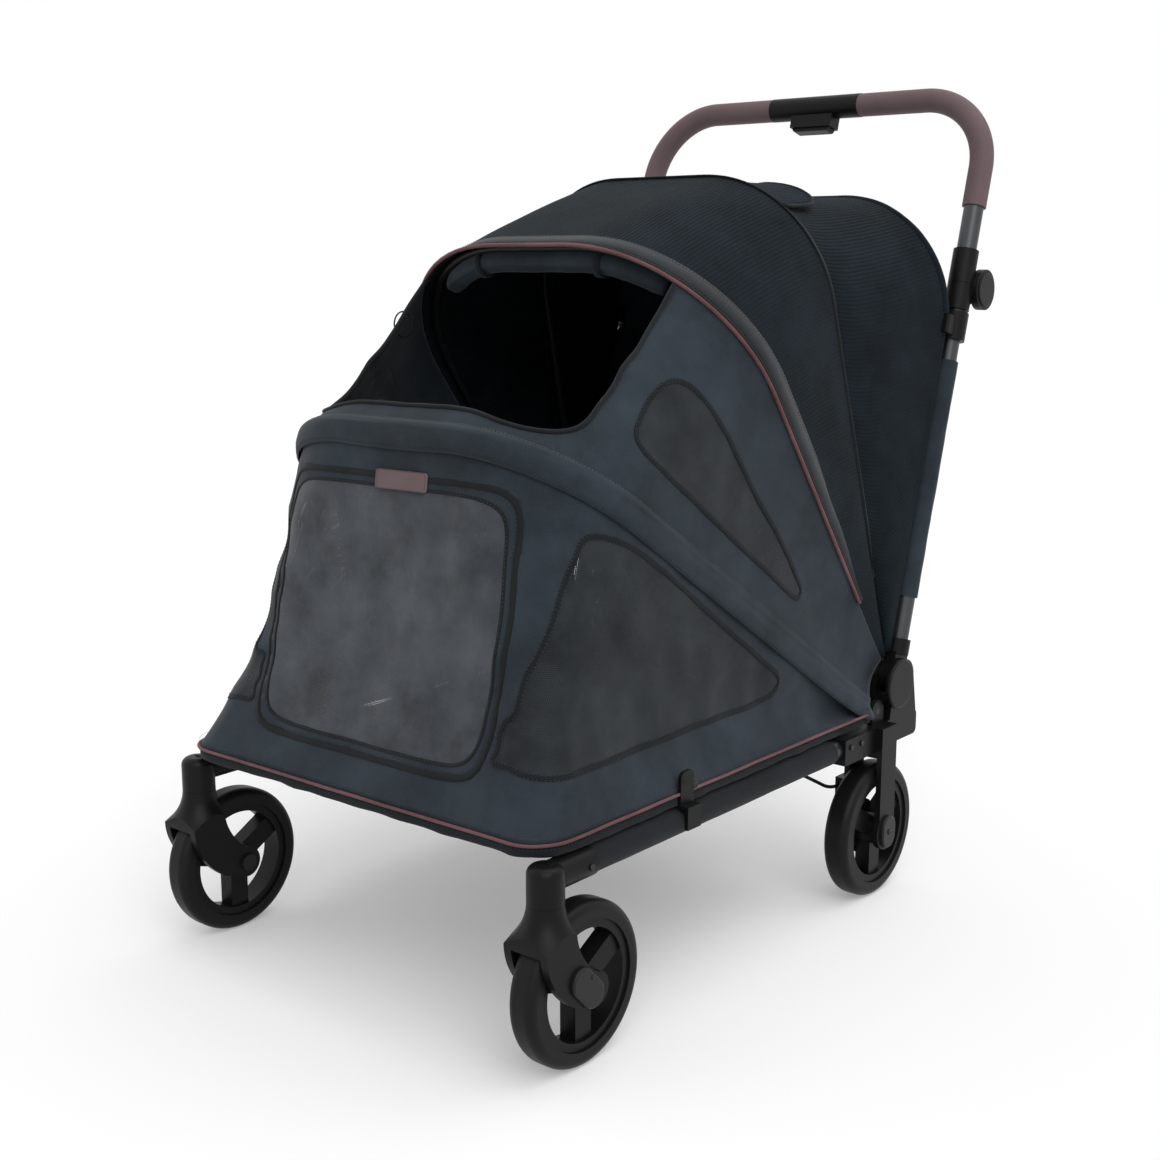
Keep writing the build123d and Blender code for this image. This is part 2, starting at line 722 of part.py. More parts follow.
def rear_bow():
    return rod_along(post_frame(0) * (rear_bow_frame() * rear_bow_line(0, -rod_d)), rod_d)


def canopy_clip():
    ring = along_z(clip_d, clip_s - clip_h / 2, clip_s + clip_h / 2, 0, 0)
    arm_half_w = rod_d + joint_wall / 2
    arm = block(-arm_half_w, arm_half_w, -clip_reach - rod_d, 0,
                clip_s - clip_h / 2 + clip_arm_inset, clip_s + clip_h / 4)
    body = ring + fillet(arm.edges().filter_by(Axis.Z), joint_wall)
    body -= along_z(post_d + 2 * press_gap, clip_s - clip_h, clip_s + clip_h, 0, 0)
    bore = Rot(90, 0, 0) * Cylinder(rod_d / 2 + press_gap, clip_h)
    socket = Pos(0, clip_h / 2 - rod_d - press_gap, 0) * bore
    return body - rear_bow_frame() * socket


def handle_housing():
    """Lower half of a handle joint: socket on the post, two ears and the cup round the button."""
    top = handle_pivot_s - face_gap
    body = along_z(housing_d, top - housing_h, top, 0, 0)
    pivot = (handle_pivot_back, handle_pivot_s)
    ear_x = lug_w / 2 + face_gap
    cup_x = ear_x + joint_ear_t
    foot_s = top - housing_h + housing_web_rise
    for x0, x1 in ((ear_x, cup_x), (-cup_x, -ear_x)):
        body += along_x(joint_ear_d, x0, x1, *pivot)
        web = make_face(Polyline((0, foot_s), (pivot[0] + joint_ear_d / 2, pivot[1]),
                                 (0, pivot[1] - face_gap), close=True))
        body += plate_yz(web, x0, x1)
    body += along_x(cup_d, cup_x, cup_x + cup_t, *pivot)
    body -= along_x(button_d + 2 * button_room, cup_x + cup_floor, cup_x + 2 * cup_t, *pivot)
    body -= along_x(joint_ear_d + face_gap, -ear_x, ear_x, *pivot)
    body -= along_x(joint_pin_d + 2 * press_gap, -2 * cup_x, cup_x + cup_floor / 2, *pivot)
    return body - along_z(post_d + 2 * press_gap, top - 2 * housing_h, post_top() + face_gap, 0, 0)


def joint_pin():
    ear_x = lug_w / 2 + face_gap + joint_ear_t
    return along_x(joint_pin_d, -ear_x, ear_x, handle_pivot_back, handle_pivot_s)


# Handle: upper half of the joints, bent tube, grips, centre sleeve, trigger and round buttons

def handle_lug():
    bottom = handle_pivot_s + face_gap
    pivot = (handle_pivot_back, handle_pivot_s)
    ear_x = lug_w / 2 + face_gap
    cup_x = ear_x + joint_ear_t
    body = along_z(housing_d, bottom, bottom + lug_h, 0, 0)
    for side in (-1, 1):
        body -= along_x(joint_ear_d + 2 * face_gap, side * (ear_x - face_gap), side * 2 * housing_d, *pivot)
    body -= along_x(cup_d + 2 * face_gap, cup_x - face_gap, 2 * housing_d, *pivot)
    lug = along_x(lug_d, -lug_w / 2, lug_w / 2, *pivot)
    lug_edge = lug_d * sin(pi / 4) / 2
    web = make_face(Polyline(
        (0, bottom), (pivot[0] + lug_edge, pivot[1] + lug_edge), (0, bottom + lug_web_h), close=True))
    body += lug + plate_yz(web, -lug_w / 2, lug_w / 2)
    body -= along_z(handle_d + 2 * press_gap, handle_tube_start() - face_gap, bottom + 2 * lug_h, 0, 0)
    return body - along_x(joint_pin_d + 2 * run_gap, -housing_d, housing_d, *pivot)


def handle_tube_start():
    return handle_pivot_s + face_gap + 2 * joint_wall


def handle_plane():
    """Plane of the bent handle: its own Y runs up the posts."""
    return Plane(origin=(0, hinge_y, hinge_z), x_dir=(1, 0, 0), z_dir=(0, -cos(lean), sin(lean)))


def handle_bar():
    start = handle_tube_start()
    line = FilletPolyline((post_x, start), (post_x, handle_top_s), (-post_x, handle_top_s), (-post_x, start),
                          radius=handle_corner_r)
    return tube_along(handle_plane() * line, handle_d, handle_d - 2 * handle_wall)


def grip():
    ends = ((post_x, grip_start_s), (post_x, handle_top_s), (core_half_w + face_gap, handle_top_s))
    line = FilletPolyline(*ends, radius=handle_corner_r)
    return tube_along(handle_plane() * line, grip_d, handle_d + 2 * press_gap)


def handle_core():
    body = along_x(core_d, -core_half_w, core_half_w, 0, handle_top_s)
    house_half_w = trigger_half_w + trigger_house_wall
    house_half_t = trigger_t / 2 + trigger_house_wall
    house_top = handle_top_s - handle_d / 2
    house_bottom = house_top - trigger_house_h
    body += block(-house_half_w, house_half_w, -house_half_t, house_half_t, house_bottom, house_top)
    body -= along_x(handle_d + 2 * press_gap, -2 * core_half_w, 2 * core_half_w, 0, handle_top_s)
    pocket_half_w = trigger_half_w + 2 * face_gap
    pocket_half_t = trigger_t / 2 + 2 * face_gap
    pocket_z = (house_bottom - over, handle_top_s)
    body -= block(-pocket_half_w, pocket_half_w, -pocket_half_t, pocket_half_t, *pocket_z)
    return post_frame(0) * body


def release_trigger():
    top = trigger_bottom_s + trigger_h
    tab = block(-trigger_half_w, trigger_half_w, -trigger_t / 2, trigger_t / 2, trigger_bottom_s, top)
    tab = fillet(tab.edges().filter_by(Axis.Y).sort_by(Axis.Z)[:2], trigger_h / 3)
    return post_frame(0) * tab


def tilt_button():
    cup_x = lug_w / 2 + face_gap + joint_ear_t
    x0 = cup_x + cup_floor + button_travel + face_gap
    disc = along_x(button_d, x0, x0 + button_t, handle_pivot_back, handle_pivot_s)
    return fillet(disc.edges().filter_by(GeomType.CIRCLE).sort_by(Axis.X)[-1:], button_t / 3)


# Bows: bent rods with an eye at each end

def bow(y, z, angle, foot_x, half_w, reach, corner_r):
    inset = rod_d / 2 + cloth_t + cloth_gap
    line = u_line(foot_x, half_w - inset, reach - inset, corner_r - inset, eye_d / 4)
    rod = rod_along(bow_plane(y, z, angle) * line, rod_d)
    for side in (-1, 1):
        x0 = side * (foot_x - eye_t / 2)
        x1 = side * (foot_x + eye_t / 2)
        rod += along_x(eye_d, x0, x1, y, z)
    return rod - along_x(pivot_bore(y), -2 * foot_x, 2 * foot_x, y, z)


def pivot_bore(y):
    """The front hoop turns on its own pin, the canopy's bows on the post hinge's pin."""
    return (hoop_pin_d if y == hoop_pivot_y else hinge_pin_d) + 2 * run_gap


def hinge_slot(order):
    """Place across of a bow's eye on the hinge pin, counted inward from the bracket."""
    beside_ear = ear_inner_x - ear_t - slot_gap - eye_t / 2
    return min(beside_ear, canopy_pivot_half_w - canopy_foot_room) - order * slot_pitch


# Fabric: sheets between the hem, the bows and the posts

def hem_band():
    return (hem_half_w, hem_half_w, hoop_pivot_y - hem_front_y, hem_corner_r)


def hoop_band():
    return (cloth_pivot_half_w, hoop_half_w, hoop_reach, hoop_corner_r)


def canopy_band():
    return (canopy_pivot_half_w, canopy_half_w, canopy_reach, canopy_corner_r)


def middle_band():
    return (canopy_pivot_half_w, middle_half_w, middle_reach, middle_corner_r)


def drawn_section(level):
    """Cut through the lower sheet between hem and hoop, where the cloth is drawn in."""
    slack = sin(pi * level ** draw_skew)
    hem = Vector(hem_front_y, hem_z)
    a = radians(hoop_angle)
    bar = Vector(hoop_pivot_y - hoop_reach * cos(a), hoop_pivot_z + hoop_reach * sin(a))
    up = (bar - hem).normalized()
    front = hem + (bar - hem) * level + Vector(up.Y, -up.X) * front_draw_in * slack
    pivot_z = hem_z + (hoop_pivot_z - hem_z) * level
    ahead = hoop_pivot_y - front.X
    rise = front.Y - pivot_z
    sizes = [low + (high - low) * level for low, high in zip(hem_band(), hoop_band())]
    band = (sizes[0] - side_draw_in * slack, sizes[1] - front_draw_in * slack,
            sqrt(ahead ** 2 + rise ** 2), sizes[3] - front_draw_in * slack)
    return u_band(bow_plane(hoop_pivot_y, pivot_z, degrees(atan2(rise, ahead))), *band, cloth_start)


def lower_sheet():
    """Whole sheet from the hem up to the front hoop, before the door is cut."""
    low = u_band(bow_plane(hoop_pivot_y, hem_z, 0), *hem_band(), cloth_start)
    high = u_band(bow_plane(hoop_pivot_y, hoop_pivot_z, hoop_angle - seam_angle), *hoop_band(), cloth_start)
    return loft([low] + [drawn_section(level) for level in draw_levels] + [high], ruled=True)


def door_prism(inset):
    """Tapered door outline, extruded through the front of the sheet."""
    z0 = door_bottom_z + inset
    z1 = door_top_z - inset
    outline = make_face(Polyline((door_half_w_bottom - inset, z0), (door_half_w_top - inset, z1),
                                 (inset - door_half_w_top, z1), (inset - door_half_w_bottom, z0), close=True))
    outline = fillet(outline.vertices(), door_corner_r)
    front = Plane(origin=(0, hem_front_y - door_cut_front, 0), x_dir=(1, 0, 0), z_dir=(0, -1, 0))
    return extrude(front * outline, -door_cut_depth)


def upper_sheet():
    """Sheet from the front hoop up to the canopy, with the mouth cut out of it."""
    low = u_band(bow_plane(hoop_pivot_y, hoop_pivot_z, hoop_angle + seam_angle), *hoop_band(), cloth_start)
    high = u_band(bow_plane(hinge_y, hinge_z, canopy_angle - seam_angle), *canopy_band(), cloth_start)
    sheet = loft([low, high], ruled=True)
    depth = hoop_pivot_y - mouth_front_y
    outline = RectangleRounded(2 * mouth_half_w, depth, mouth_corner_r)
    cutter = extrude(Pos(0, mouth_front_y + depth / 2, door_top_z) * outline, canopy_reach)
    return sheet - cutter


def canopy_main():
    front = u_band(bow_plane(hinge_y, hinge_z, canopy_angle + seam_angle), *canopy_band(), cloth_start)
    back = u_band(bow_plane(hinge_y, hinge_z, middle_angle - seam_angle), *middle_band(), cloth_start)
    return loft([front, back], ruled=True)


def canopy_rear():
    """Arch from the middle bow to the rear bow, and the two wings below it, down to the hinges."""
    proud = rod_d / 2 + cloth_gap + cloth_t
    front_plane = bow_plane(hinge_y, hinge_z, middle_angle + seam_angle)
    arch_front = u_band(front_plane, *middle_band(), canopy_split_s)
    rear_outer = rear_bow_line(-proud, rear_arch_start)
    rear_inner = rear_bow_line(cloth_t - proud, rear_arch_start)
    ends = Line(rear_outer @ 0, rear_inner @ 0) + Line(rear_outer @ 1, rear_inner @ 1)
    arch_rear = post_frame(0) * (rear_bow_frame() * make_face(rear_outer + rear_inner + ends))
    return [loft([arch_front, arch_rear], ruled=True)] + both_sides(canopy_wing(front_plane))


def canopy_wing(front_plane):
    """Side of the rear canopy, from the middle bow's leg to the front of the post."""
    def leg_x(s):
        return canopy_pivot_half_w + (middle_half_w - canopy_pivot_half_w) * s / middle_reach
    top = canopy_split_s - 2 * cloth_gap
    front_edge = make_face(Polyline(
        (leg_x(cloth_start), cloth_start), (leg_x(top), top), (leg_x(top) - cloth_t, top),
        (leg_x(cloth_start) - cloth_t, cloth_start), close=True))
    back = knuckle_d / 2 + wing_post_gap
    rear_plane = post_frame(0) * Plane(origin=(0, -back, 0), x_dir=(1, 0, 0), z_dir=(0, -1, 0))
    wing_top = clip_s - clip_h / 2 - wing_clip_gap
    rear_edge = make_face(Polyline(
        (post_x, wing_start), (post_x, wing_top),
        (post_x - cloth_t, wing_top), (post_x - cloth_t, wing_start), close=True))
    return loft([front_plane * front_edge, rear_plane * rear_edge], ruled=True)


def canopy_roll():
    """Rolled-up roof flap, tied under the front edge of the canopy."""
    drop = canopy_bow_drop + cloth_t + rod_d + 3 * cloth_gap + roll_d / 2
    reach = canopy_reach - drop
    corner = canopy_corner_r - drop
    bar = canopy_half_w - canopy_corner_r
    a = radians(roll_half_angle)
    end = (bar + corner * sin(a), reach - corner * (1 - cos(a)))
    middle = (bar + corner * sin(a / 2), reach - corner * (1 - cos(a / 2)))
    line = ThreePointArc(end, middle, (bar, reach)) + Line((bar, reach), (-bar, reach))
    line += ThreePointArc((-bar, reach), (-middle[0], middle[1]), (-end[0], end[1]))
    plane = bow_plane(hinge_y, hinge_z, canopy_angle + canopy_bow_set_back)
    return rod_along(plane * Wire(line.edges()), roll_d)


def rear_panel():
    """Back of the cabin: upright between the posts, then bent forward inside the rear bow."""
    a = radians(rear_bow_tilt)
    bend = -(clip_h / 2 + face_gap) / cos(a)
    bend_back = -clip_reach - bend * sin(a)
    bend_s = clip_s + bend * cos(a)
    upright = block(-panel_half_w, panel_half_w, bend_back - cloth_t, bend_back, panel_foot_s, bend_s)
    for side in (-1, 1):
        corner = block(side * panel_foot_half_w, side * 2 * panel_half_w, -2 * clip_reach, 0,
                       panel_foot_s - over, panel_step_s)
        upright -= corner
    arch = rear_bow_line(rod_d / 2 + cloth_gap, bend)
    top = extrude(rear_bow_frame() * make_face(arch + Line(arch @ 1, arch @ 0)), cloth_t)
    top &= block(-panel_half_w, panel_half_w, -2 * rear_bow_rise, 0, 0, handle_top_s)
    return post_frame(0) * (upright + top)


def hem_skirt():
    """Hem band round the front and sides, with the sleeves that wrap the side rails."""
    band = u_band(bow_plane(hoop_pivot_y, hem_z - cloth_gap, 0), *hem_band(), hoop_pivot_y - hem_rear_y)
    skirt = extrude(band, hem_drop, dir=(0, 0, -1))
    sleeve_d = rail_d + 2 * rail_sleeve_t + 2 * face_gap
    for side in (-1, 1):
        x = side * wheel_x
        skirt += along_y(sleeve_d, rail_sleeve_front_y, rail_sleeve_rear_y, x, rail_z)
        edge = side * hem_half_w
        skirt += block(edge - side * cloth_t, edge, rail_sleeve_front_y, rail_sleeve_rear_y,
                       rail_z + rail_r, hem_z - hem_drop)
    for side in (-1, 1):
        skirt -= along_y(rail_d + 2 * face_gap, caster_y, rear_y, side * wheel_x, rail_z)
    return skirt - along_x(cross_d + 2 * face_gap, -wheel_x, wheel_x, front_cross_y, cross_z)


# Side clips over the hem, and all small screws

def side_clip():
    """Plate over the hem and plate beside the rail's sleeve, joined by a shelf between them."""
    rail_face = wheel_x + rail_r + rail_sleeve_t + 2 * face_gap
    hem_face = hem_half_w + face_gap
    shelf_z = rail_z + rail_r + rail_sleeve_t + 2 * face_gap
    y0 = clip_plate_y - clip_plate_w / 2
    y1 = clip_plate_y + clip_plate_w / 2
    upper = block(hem_face, hem_face + clip_plate_t, y0, y1, shelf_z, clip_plate_top_z)
    upper = fillet(upper.edges().filter_by(Axis.X).sort_by(Axis.Z)[-2:], clip_plate_w / 3)
    shelf_x = (min(hem_face, rail_face), max(hem_face, rail_face) + clip_plate_t)
    shelf = block(*shelf_x, y0, y1, shelf_z, shelf_z + clip_plate_t)
    foot_z = rail_z - rail_r / 2
    return upper + shelf + block(rail_face, rail_face + clip_plate_t, y0, y1, foot_z, shelf_z + clip_plate_t)


def screw(x, y, z):
    head = along_x(screw_head_d, x, x + screw_head_t, y, z)
    return fillet(head.edges().filter_by(GeomType.CIRCLE).sort_by(Axis.X)[-1:], screw_head_t / 2)


def screws():
    """Two on each rear bracket's beam and one on each front corner's rail arm."""
    beam_face = wheel_x + beam_w / 2
    arm_face = wheel_x + rail_r + joint_wall
    first_y = beam_front_y + screw_first
    beam_spots = [(beam_face, y, rail_z + screw_rise) for y in (first_y, first_y + screw_pitch)]
    spots = beam_spots + [(arm_face, caster_y + sleeve_l - corner_screw_inset, rail_z)]
    heads = []
    for spot in spots:
        heads += both_sides(screw(*spot))
    return heads


def hinge_pin():
    inner_x = hinge_slot(1) - eye_t / 2 - pin_end_gap
    pin = along_x(hinge_pin_d, inner_x, ear_outer_x + ear_t, hinge_y, hinge_z)
    return pin + along_x(hinge_pin_d + 2 * pin_head_step, inner_x - pin_head_t, inner_x, hinge_y, hinge_z)


def hinge_cover():
    x0 = ear_outer_x + ear_t + face_gap
    spot = (hinge_y - hinge_cover_forward, hinge_z - hinge_cover_drop)
    cover = along_x(hinge_cover_d, x0, x0 + hinge_cover_t, *spot)
    return fillet(cover.edges().filter_by(GeomType.CIRCLE).sort_by(Axis.X)[-1:], hinge_cover_t / 2)


def hoop_pin():
    inner_x = hoop_slot_x - eye_t / 2 - slot_gap
    pin = along_x(hoop_pin_d, inner_x, tab_x + tab_t, hoop_pivot_y, hoop_pivot_z)
    head_d = hoop_pin_d + 2 * pin_head_step
    return pin + along_x(head_d, inner_x - pin_head_t, inner_x, hoop_pivot_y, hoop_pivot_z)


nodes = {}


def pair(name, shape):
    """Left and right node: left is +X, as seen by whoever pushes the stroller forward."""
    nodes[name + "_left"] = shape
    nodes[name + "_right"] = mirror(shape, about=Plane.YZ)


left_post = post_frame(post_x)
fork_inner = wheel_x - tyre_w / 2 - leg_gap - fork_leg_t
fork_outer = wheel_x + tyre_w / 2 + leg_gap + fork_leg_t

pair("front_tyre", tyre(front_y))
pair("rear_tyre", tyre(rear_y))
pair("front_rim", rim(front_y, False))
pair("rear_rim", rim(rear_y, True))
front_axle = axle(front_y, fork_inner, fork_outer, front_cover())
nodes["front_axle_left"] = [front_axle] + bushes(front_y)
nodes["front_axle_right"] = [mirror(s, about=Plane.YZ) for s in nodes["front_axle_left"]]
rear_axle = [axle(rear_y, leg_inner_x, leg_outer_x + leg_t, rear_cover())] + bushes(rear_y)
nodes["rear_axles"] = rear_axle + [mirror(s, about=Plane.YZ) for s in rear_axle]
pair("caster_fork", caster_fork())
nodes["kingpins"] = both_sides(kingpin())
pair("front_corner", front_corner())
pair("rear_bracket", rear_bracket())
pair("side_rail", side_rail())
nodes["front_cross_tube"] = front_cross_tube()
nodes["rear_cross_tube"] = cross_tube(leg_inner_x - face_gap, rear_y)
nodes["deck_board"] = deck_board()
nodes["floor_cushion"] = floor_cushion()
nodes["brake_pedal"] = brake_pedal()
nodes["cable_stops"] = both_sides(cable_stop())
nodes["brake_cables"] = both_sides(brake_cable())
pair("brake_pin", brake_pin())
nodes["hinge_pins"] = both_sides(hinge_pin())
nodes["hinge_covers"] = both_sides(hinge_cover())
nodes["hoop_pins"] = both_sides(hoop_pin())
pair("post", left_post * post_tube())
nodes["post_knuckles"] = both_sides(left_post * knuckle())
nodes["canopy_clips"] = both_sides(left_post * canopy_clip())
nodes["handle_housings"] = both_sides(left_post * handle_housing())
nodes["joint_pins"] = both_sides(left_post * joint_pin())
nodes["handle_lugs"] = both_sides(left_post * handle_lug())
nodes["handle_bar"] = handle_bar()
pair("grip", grip())
nodes["handle_core"] = handle_core()
nodes["release_trigger"] = release_trigger()
pair("tilt_button", left_post * tilt_button())
nodes["rear_bow"] = rear_bow()
nodes["front_hoop"] = bow(hoop_pivot_y, hoop_pivot_z, hoop_angle, hoop_slot_x,
                          hoop_half_w, hoop_reach, hoop_corner_r)
nodes["canopy_bow"] = bow(hinge_y, hinge_z, canopy_angle + canopy_bow_set_back, hinge_slot(0),
                          canopy_half_w - canopy_bow_drop, canopy_reach - canopy_bow_drop,
                          canopy_corner_r - canopy_bow_drop)
nodes["middle_bow"] = bow(hinge_y, hinge_z, middle_angle, hinge_slot(1),
                          middle_half_w, middle_reach, middle_corner_r)
sheet = lower_sheet()
nodes["lower_shell"] = sheet - door_prism(0)
nodes["front_door"] = sheet & door_prism(door_gap)
nodes["upper_shell"] = upper_sheet()
nodes["canopy_main"] = canopy_main()
nodes["canopy_rear"] = canopy_rear()
nodes["canopy_roll"] = canopy_roll()
nodes["rear_panel"] = rear_panel()
nodes["hem_skirt"] = hem_skirt()
nodes["side_clips"] = both_sides(side_clip())
nodes["frame_screws"] = screws()

for name, shape in nodes.items():
    solids = shape if isinstance(shape, list) else [shape]
    placed = [Pos(0, -origin_y, 0) * s for s in solids]
    export_step(placed[0] if len(placed) == 1 else Compound(children=placed), f"parts/{name}.step")
print(len(nodes), "nodes")
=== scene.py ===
import bpy
import json
import math
import numpy as np
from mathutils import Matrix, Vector, noise


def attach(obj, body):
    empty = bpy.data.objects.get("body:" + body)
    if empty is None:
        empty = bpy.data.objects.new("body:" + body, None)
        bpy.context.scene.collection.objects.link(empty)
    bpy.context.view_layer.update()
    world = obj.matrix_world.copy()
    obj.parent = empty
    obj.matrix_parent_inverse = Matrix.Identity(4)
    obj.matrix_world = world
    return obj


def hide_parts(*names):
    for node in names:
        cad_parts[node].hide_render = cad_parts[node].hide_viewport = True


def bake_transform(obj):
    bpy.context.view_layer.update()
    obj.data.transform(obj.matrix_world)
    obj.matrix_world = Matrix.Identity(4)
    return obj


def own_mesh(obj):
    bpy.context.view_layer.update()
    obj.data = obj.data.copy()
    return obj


for leftover in [bpy.data.objects.get(name) for name in ("Cube", "Light", "Camera")]:
    if leftover:
        bpy.data.objects.remove(leftover)      # the startup scene's own objects
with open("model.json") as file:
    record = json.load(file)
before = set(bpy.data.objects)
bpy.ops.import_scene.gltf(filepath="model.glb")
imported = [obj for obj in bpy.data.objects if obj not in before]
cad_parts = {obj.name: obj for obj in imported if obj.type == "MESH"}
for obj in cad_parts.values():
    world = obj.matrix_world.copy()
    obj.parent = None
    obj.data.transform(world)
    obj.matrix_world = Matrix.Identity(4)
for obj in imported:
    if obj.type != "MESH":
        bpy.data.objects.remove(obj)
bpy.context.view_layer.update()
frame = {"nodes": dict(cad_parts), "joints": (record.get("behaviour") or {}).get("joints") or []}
nodes = frame["nodes"]
joints = {joint["name"]: joint for joint in frame["joints"]}
scene = bpy.context.scene
deg = math.radians

hinge = np.array(joints["frame_fold"]["pos_m"])        # posts and canopy bows turn here
hoopPivot = np.array(joints["front_hoop_fold"]["pos_m"])
lean = deg(16.0)                                       # posts lean back by this
postUp = np.array((0.0, math.sin(lean), math.cos(lean)))
postBack = np.array((0.0, math.cos(lean), -math.sin(lean)))


# Finishes

def newFinish(name):
    finish = bpy.data.materials.new(name)
    finish.use_nodes = True
    tree = finish.node_tree
    shader = tree.nodes["Principled BSDF"]
    return finish, tree, shader


def addNode(tree, kind, **inputs):
    node = tree.nodes.new(kind)
    for key, value in inputs.items():
        if key in node.inputs:
            node.inputs[key].default_value = value
        else:
            setattr(node, key, value)
    return node


def mixColours(tree, factor, first, second):
    node = tree.nodes.new("ShaderNodeMix")
    node.data_type = "RGBA"
    node.inputs["A"].default_value = (*first, 1)
    node.inputs["B"].default_value = (*second, 1)
    tree.links.new(factor, node.inputs["Factor"])
    return node.outputs["Result"]


def mathNode(tree, operation, first, second=None, third=None):
    node = tree.nodes.new("ShaderNodeMath")
    node.operation = operation
    for slot, value in enumerate((first, second, third)):
        if value is None:
            continue
        if isinstance(value, (int, float)):
            node.inputs[slot].default_value = value
        else:
            tree.links.new(value, node.inputs[slot])
    return node.outputs[0]


def scaled(colour, share):
    return tuple(min(1.0, c * share) for c in colour)


def noiseOut(tree, vector, scale, detail=3.0, roughness=0.5):
    node = addNode(tree, "ShaderNodeTexNoise", Scale=scale, Detail=detail, Roughness=roughness)
    tree.links.new(vector, node.inputs["Vector"])
    return node.outputs["Fac"]


def waveOut(tree, vector, period, direction, distortion=0.0):
    node = tree.nodes.new("ShaderNodeTexWave")
    node.bands_direction = direction
    node.inputs["Scale"].default_value = 0.31416 / period   # a wave of scale 1 repeats every pi / 10
    node.inputs["Distortion"].default_value = distortion
    node.inputs["Detail"].default_value = 1.5
    node.inputs["Detail Scale"].default_value = 0.6
    tree.links.new(vector, node.inputs["Vector"])
    return node.outputs["Fac"]


def bumpInto(tree, shader, height, strength, distance):
    bump = addNode(tree, "ShaderNodeBump", Strength=strength, Distance=distance)
    tree.links.new(height, bump.inputs["Height"])
    tree.links.new(bump.outputs["Normal"], shader.inputs["Normal"])


def tintInto(tree, shader, factor, colour, shades):
    dark, pale = [scaled(colour, share) for share in shades]
    tree.links.new(mixColours(tree, factor, dark, pale), shader.inputs["Base Color"])


def roughInto(tree, shader, source, low, high):
    span = addNode(tree, "ShaderNodeMapRange")
    span.inputs["To Min"].default_value = low
    span.inputs["To Max"].default_value = high
    tree.links.new(source, span.inputs["Value"])
    tree.links.new(span.outputs["Result"], shader.inputs["Roughness"])


# cloud, cloudShare and shades set large darker and paler patches in the cloth colour: partly the cloth's own
# uneven tone, partly painted shade and light of crumpled folds
weaveLook = {
    "cloud": (11.0, 6.0, 0.62), "cloudShare": 1.5, "fleck": (620.0, 2.0, 0.7), "fleckShare": 0.5, "drop": 0.5,
    "shades": (0.35, 1.65), "wander": 0.6, "ribBreak": (55.0, 3.0), "ribFloor": 0.35, "underRib": 0.35,
    "roughSpan": 0.06, "sheenRough": 0.45, "gloss": 0.14,
}


def clothFinish(name, look):
    finish, tree, shader = newFinish(name)
    place = tree.nodes.new("ShaderNodeTexCoord")
    uv, spot = place.outputs["UV"], place.outputs["Object"]
    base = weaveLook
    # Painted shade and light of crumpled folds, mixed with the cloth's own uneven tone, as large cloudy
    # patches; the fine flecks are the yarn's own tone
    cloudy = noiseOut(tree, spot, *base["cloud"])
    toneAndFoldShade = mathNode(tree, "MULTIPLY", cloudy, base["cloudShare"])
    flecks = mathNode(tree, "MULTIPLY", noiseOut(tree, uv, *base["fleck"]), base["fleckShare"])
    shade = mathNode(tree, "SUBTRACT", mathNode(tree, "ADD", toneAndFoldShade, flecks), base["drop"])
    tintInto(tree, shader, shade, look["colour"], base["shades"])
    warp, weft = [waveOut(tree, uv, look["thread"], way, base["wander"]) for way in "XY"]
    weave = mathNode(tree, "MULTIPLY", warp, weft)
    if look.get("rib"):
        rib = waveOut(tree, uv, look["rib"], "X", look["ribWander"])
        broken = mathNode(tree, "ADD", noiseOut(tree, uv, *base["ribBreak"]), base["ribFloor"])
        rib = mathNode(tree, "MULTIPLY", rib, broken)
        weave = mathNode(tree, "ADD", mathNode(tree, "MULTIPLY", weave, base["underRib"]), rib)
    bumpInto(tree, shader, weave, look["bump"], look["depth"])
    roughInto(tree, shader, cloudy, look["rough"] - base["roughSpan"], look["rough"] + base["roughSpan"])
    shader.inputs["Sheen Weight"].default_value = look["sheen"]
    shader.inputs["Sheen Roughness"].default_value = base["sheenRough"]
    shader.inputs["Specular IOR Level"].default_value = look.get("gloss", base["gloss"])
    return finish


def meshFinish(name, look):
    finish, tree, shader = newFinish(name)
    place = tree.nodes.new("ShaderNodeTexCoord")
    uv, spot = place.outputs["UV"], place.outputs["Object"]
    cloudy = noiseOut(tree, spot, 12.0, 6.0, 0.65)
    blotch = mathNode(tree, "MULTIPLY_ADD", cloudy, 1.8, -0.4)
    tintInto(tree, shader, blotch, look["colour"], (0.3, 1.7))
    across, along = [waveOut(tree, uv, look["hole"], way, 0.25) for way in "XY"]
    thread = mathNode(tree, "MAXIMUM", across, along)
    solid = mathNode(tree, "GREATER_THAN", thread, look["open"])
    tree.links.new(solid, shader.inputs["Alpha"])
    bumpInto(tree, shader, thread, 0.4, 0.0005)
    shader.inputs["Roughness"].default_value = look["rough"]
    shader.inputs["Sheen Weight"].default_value = look["sheen"]
    shader.inputs["Specular IOR Level"].default_value = 0.12
    return finish


def plasticFinish(name, look):
    finish, tree, shader = newFinish(name)
    spot = tree.nodes.new("ShaderNodeTexCoord").outputs["Object"]
    cloudy = noiseOut(tree, spot, 14.0, 5.0)
    grain = noiseOut(tree, spot, 1400.0, 2.0)
    tintInto(tree, shader, cloudy, look["colour"], (0.8, 1.25))
    bumpInto(tree, shader, grain, look["bump"], 0.0002)
    roughInto(tree, shader, cloudy, look["rough"] - 0.08, look["rough"] + 0.08)
    shader.inputs["Specular IOR Level"].default_value = look["gloss"]
    return finish


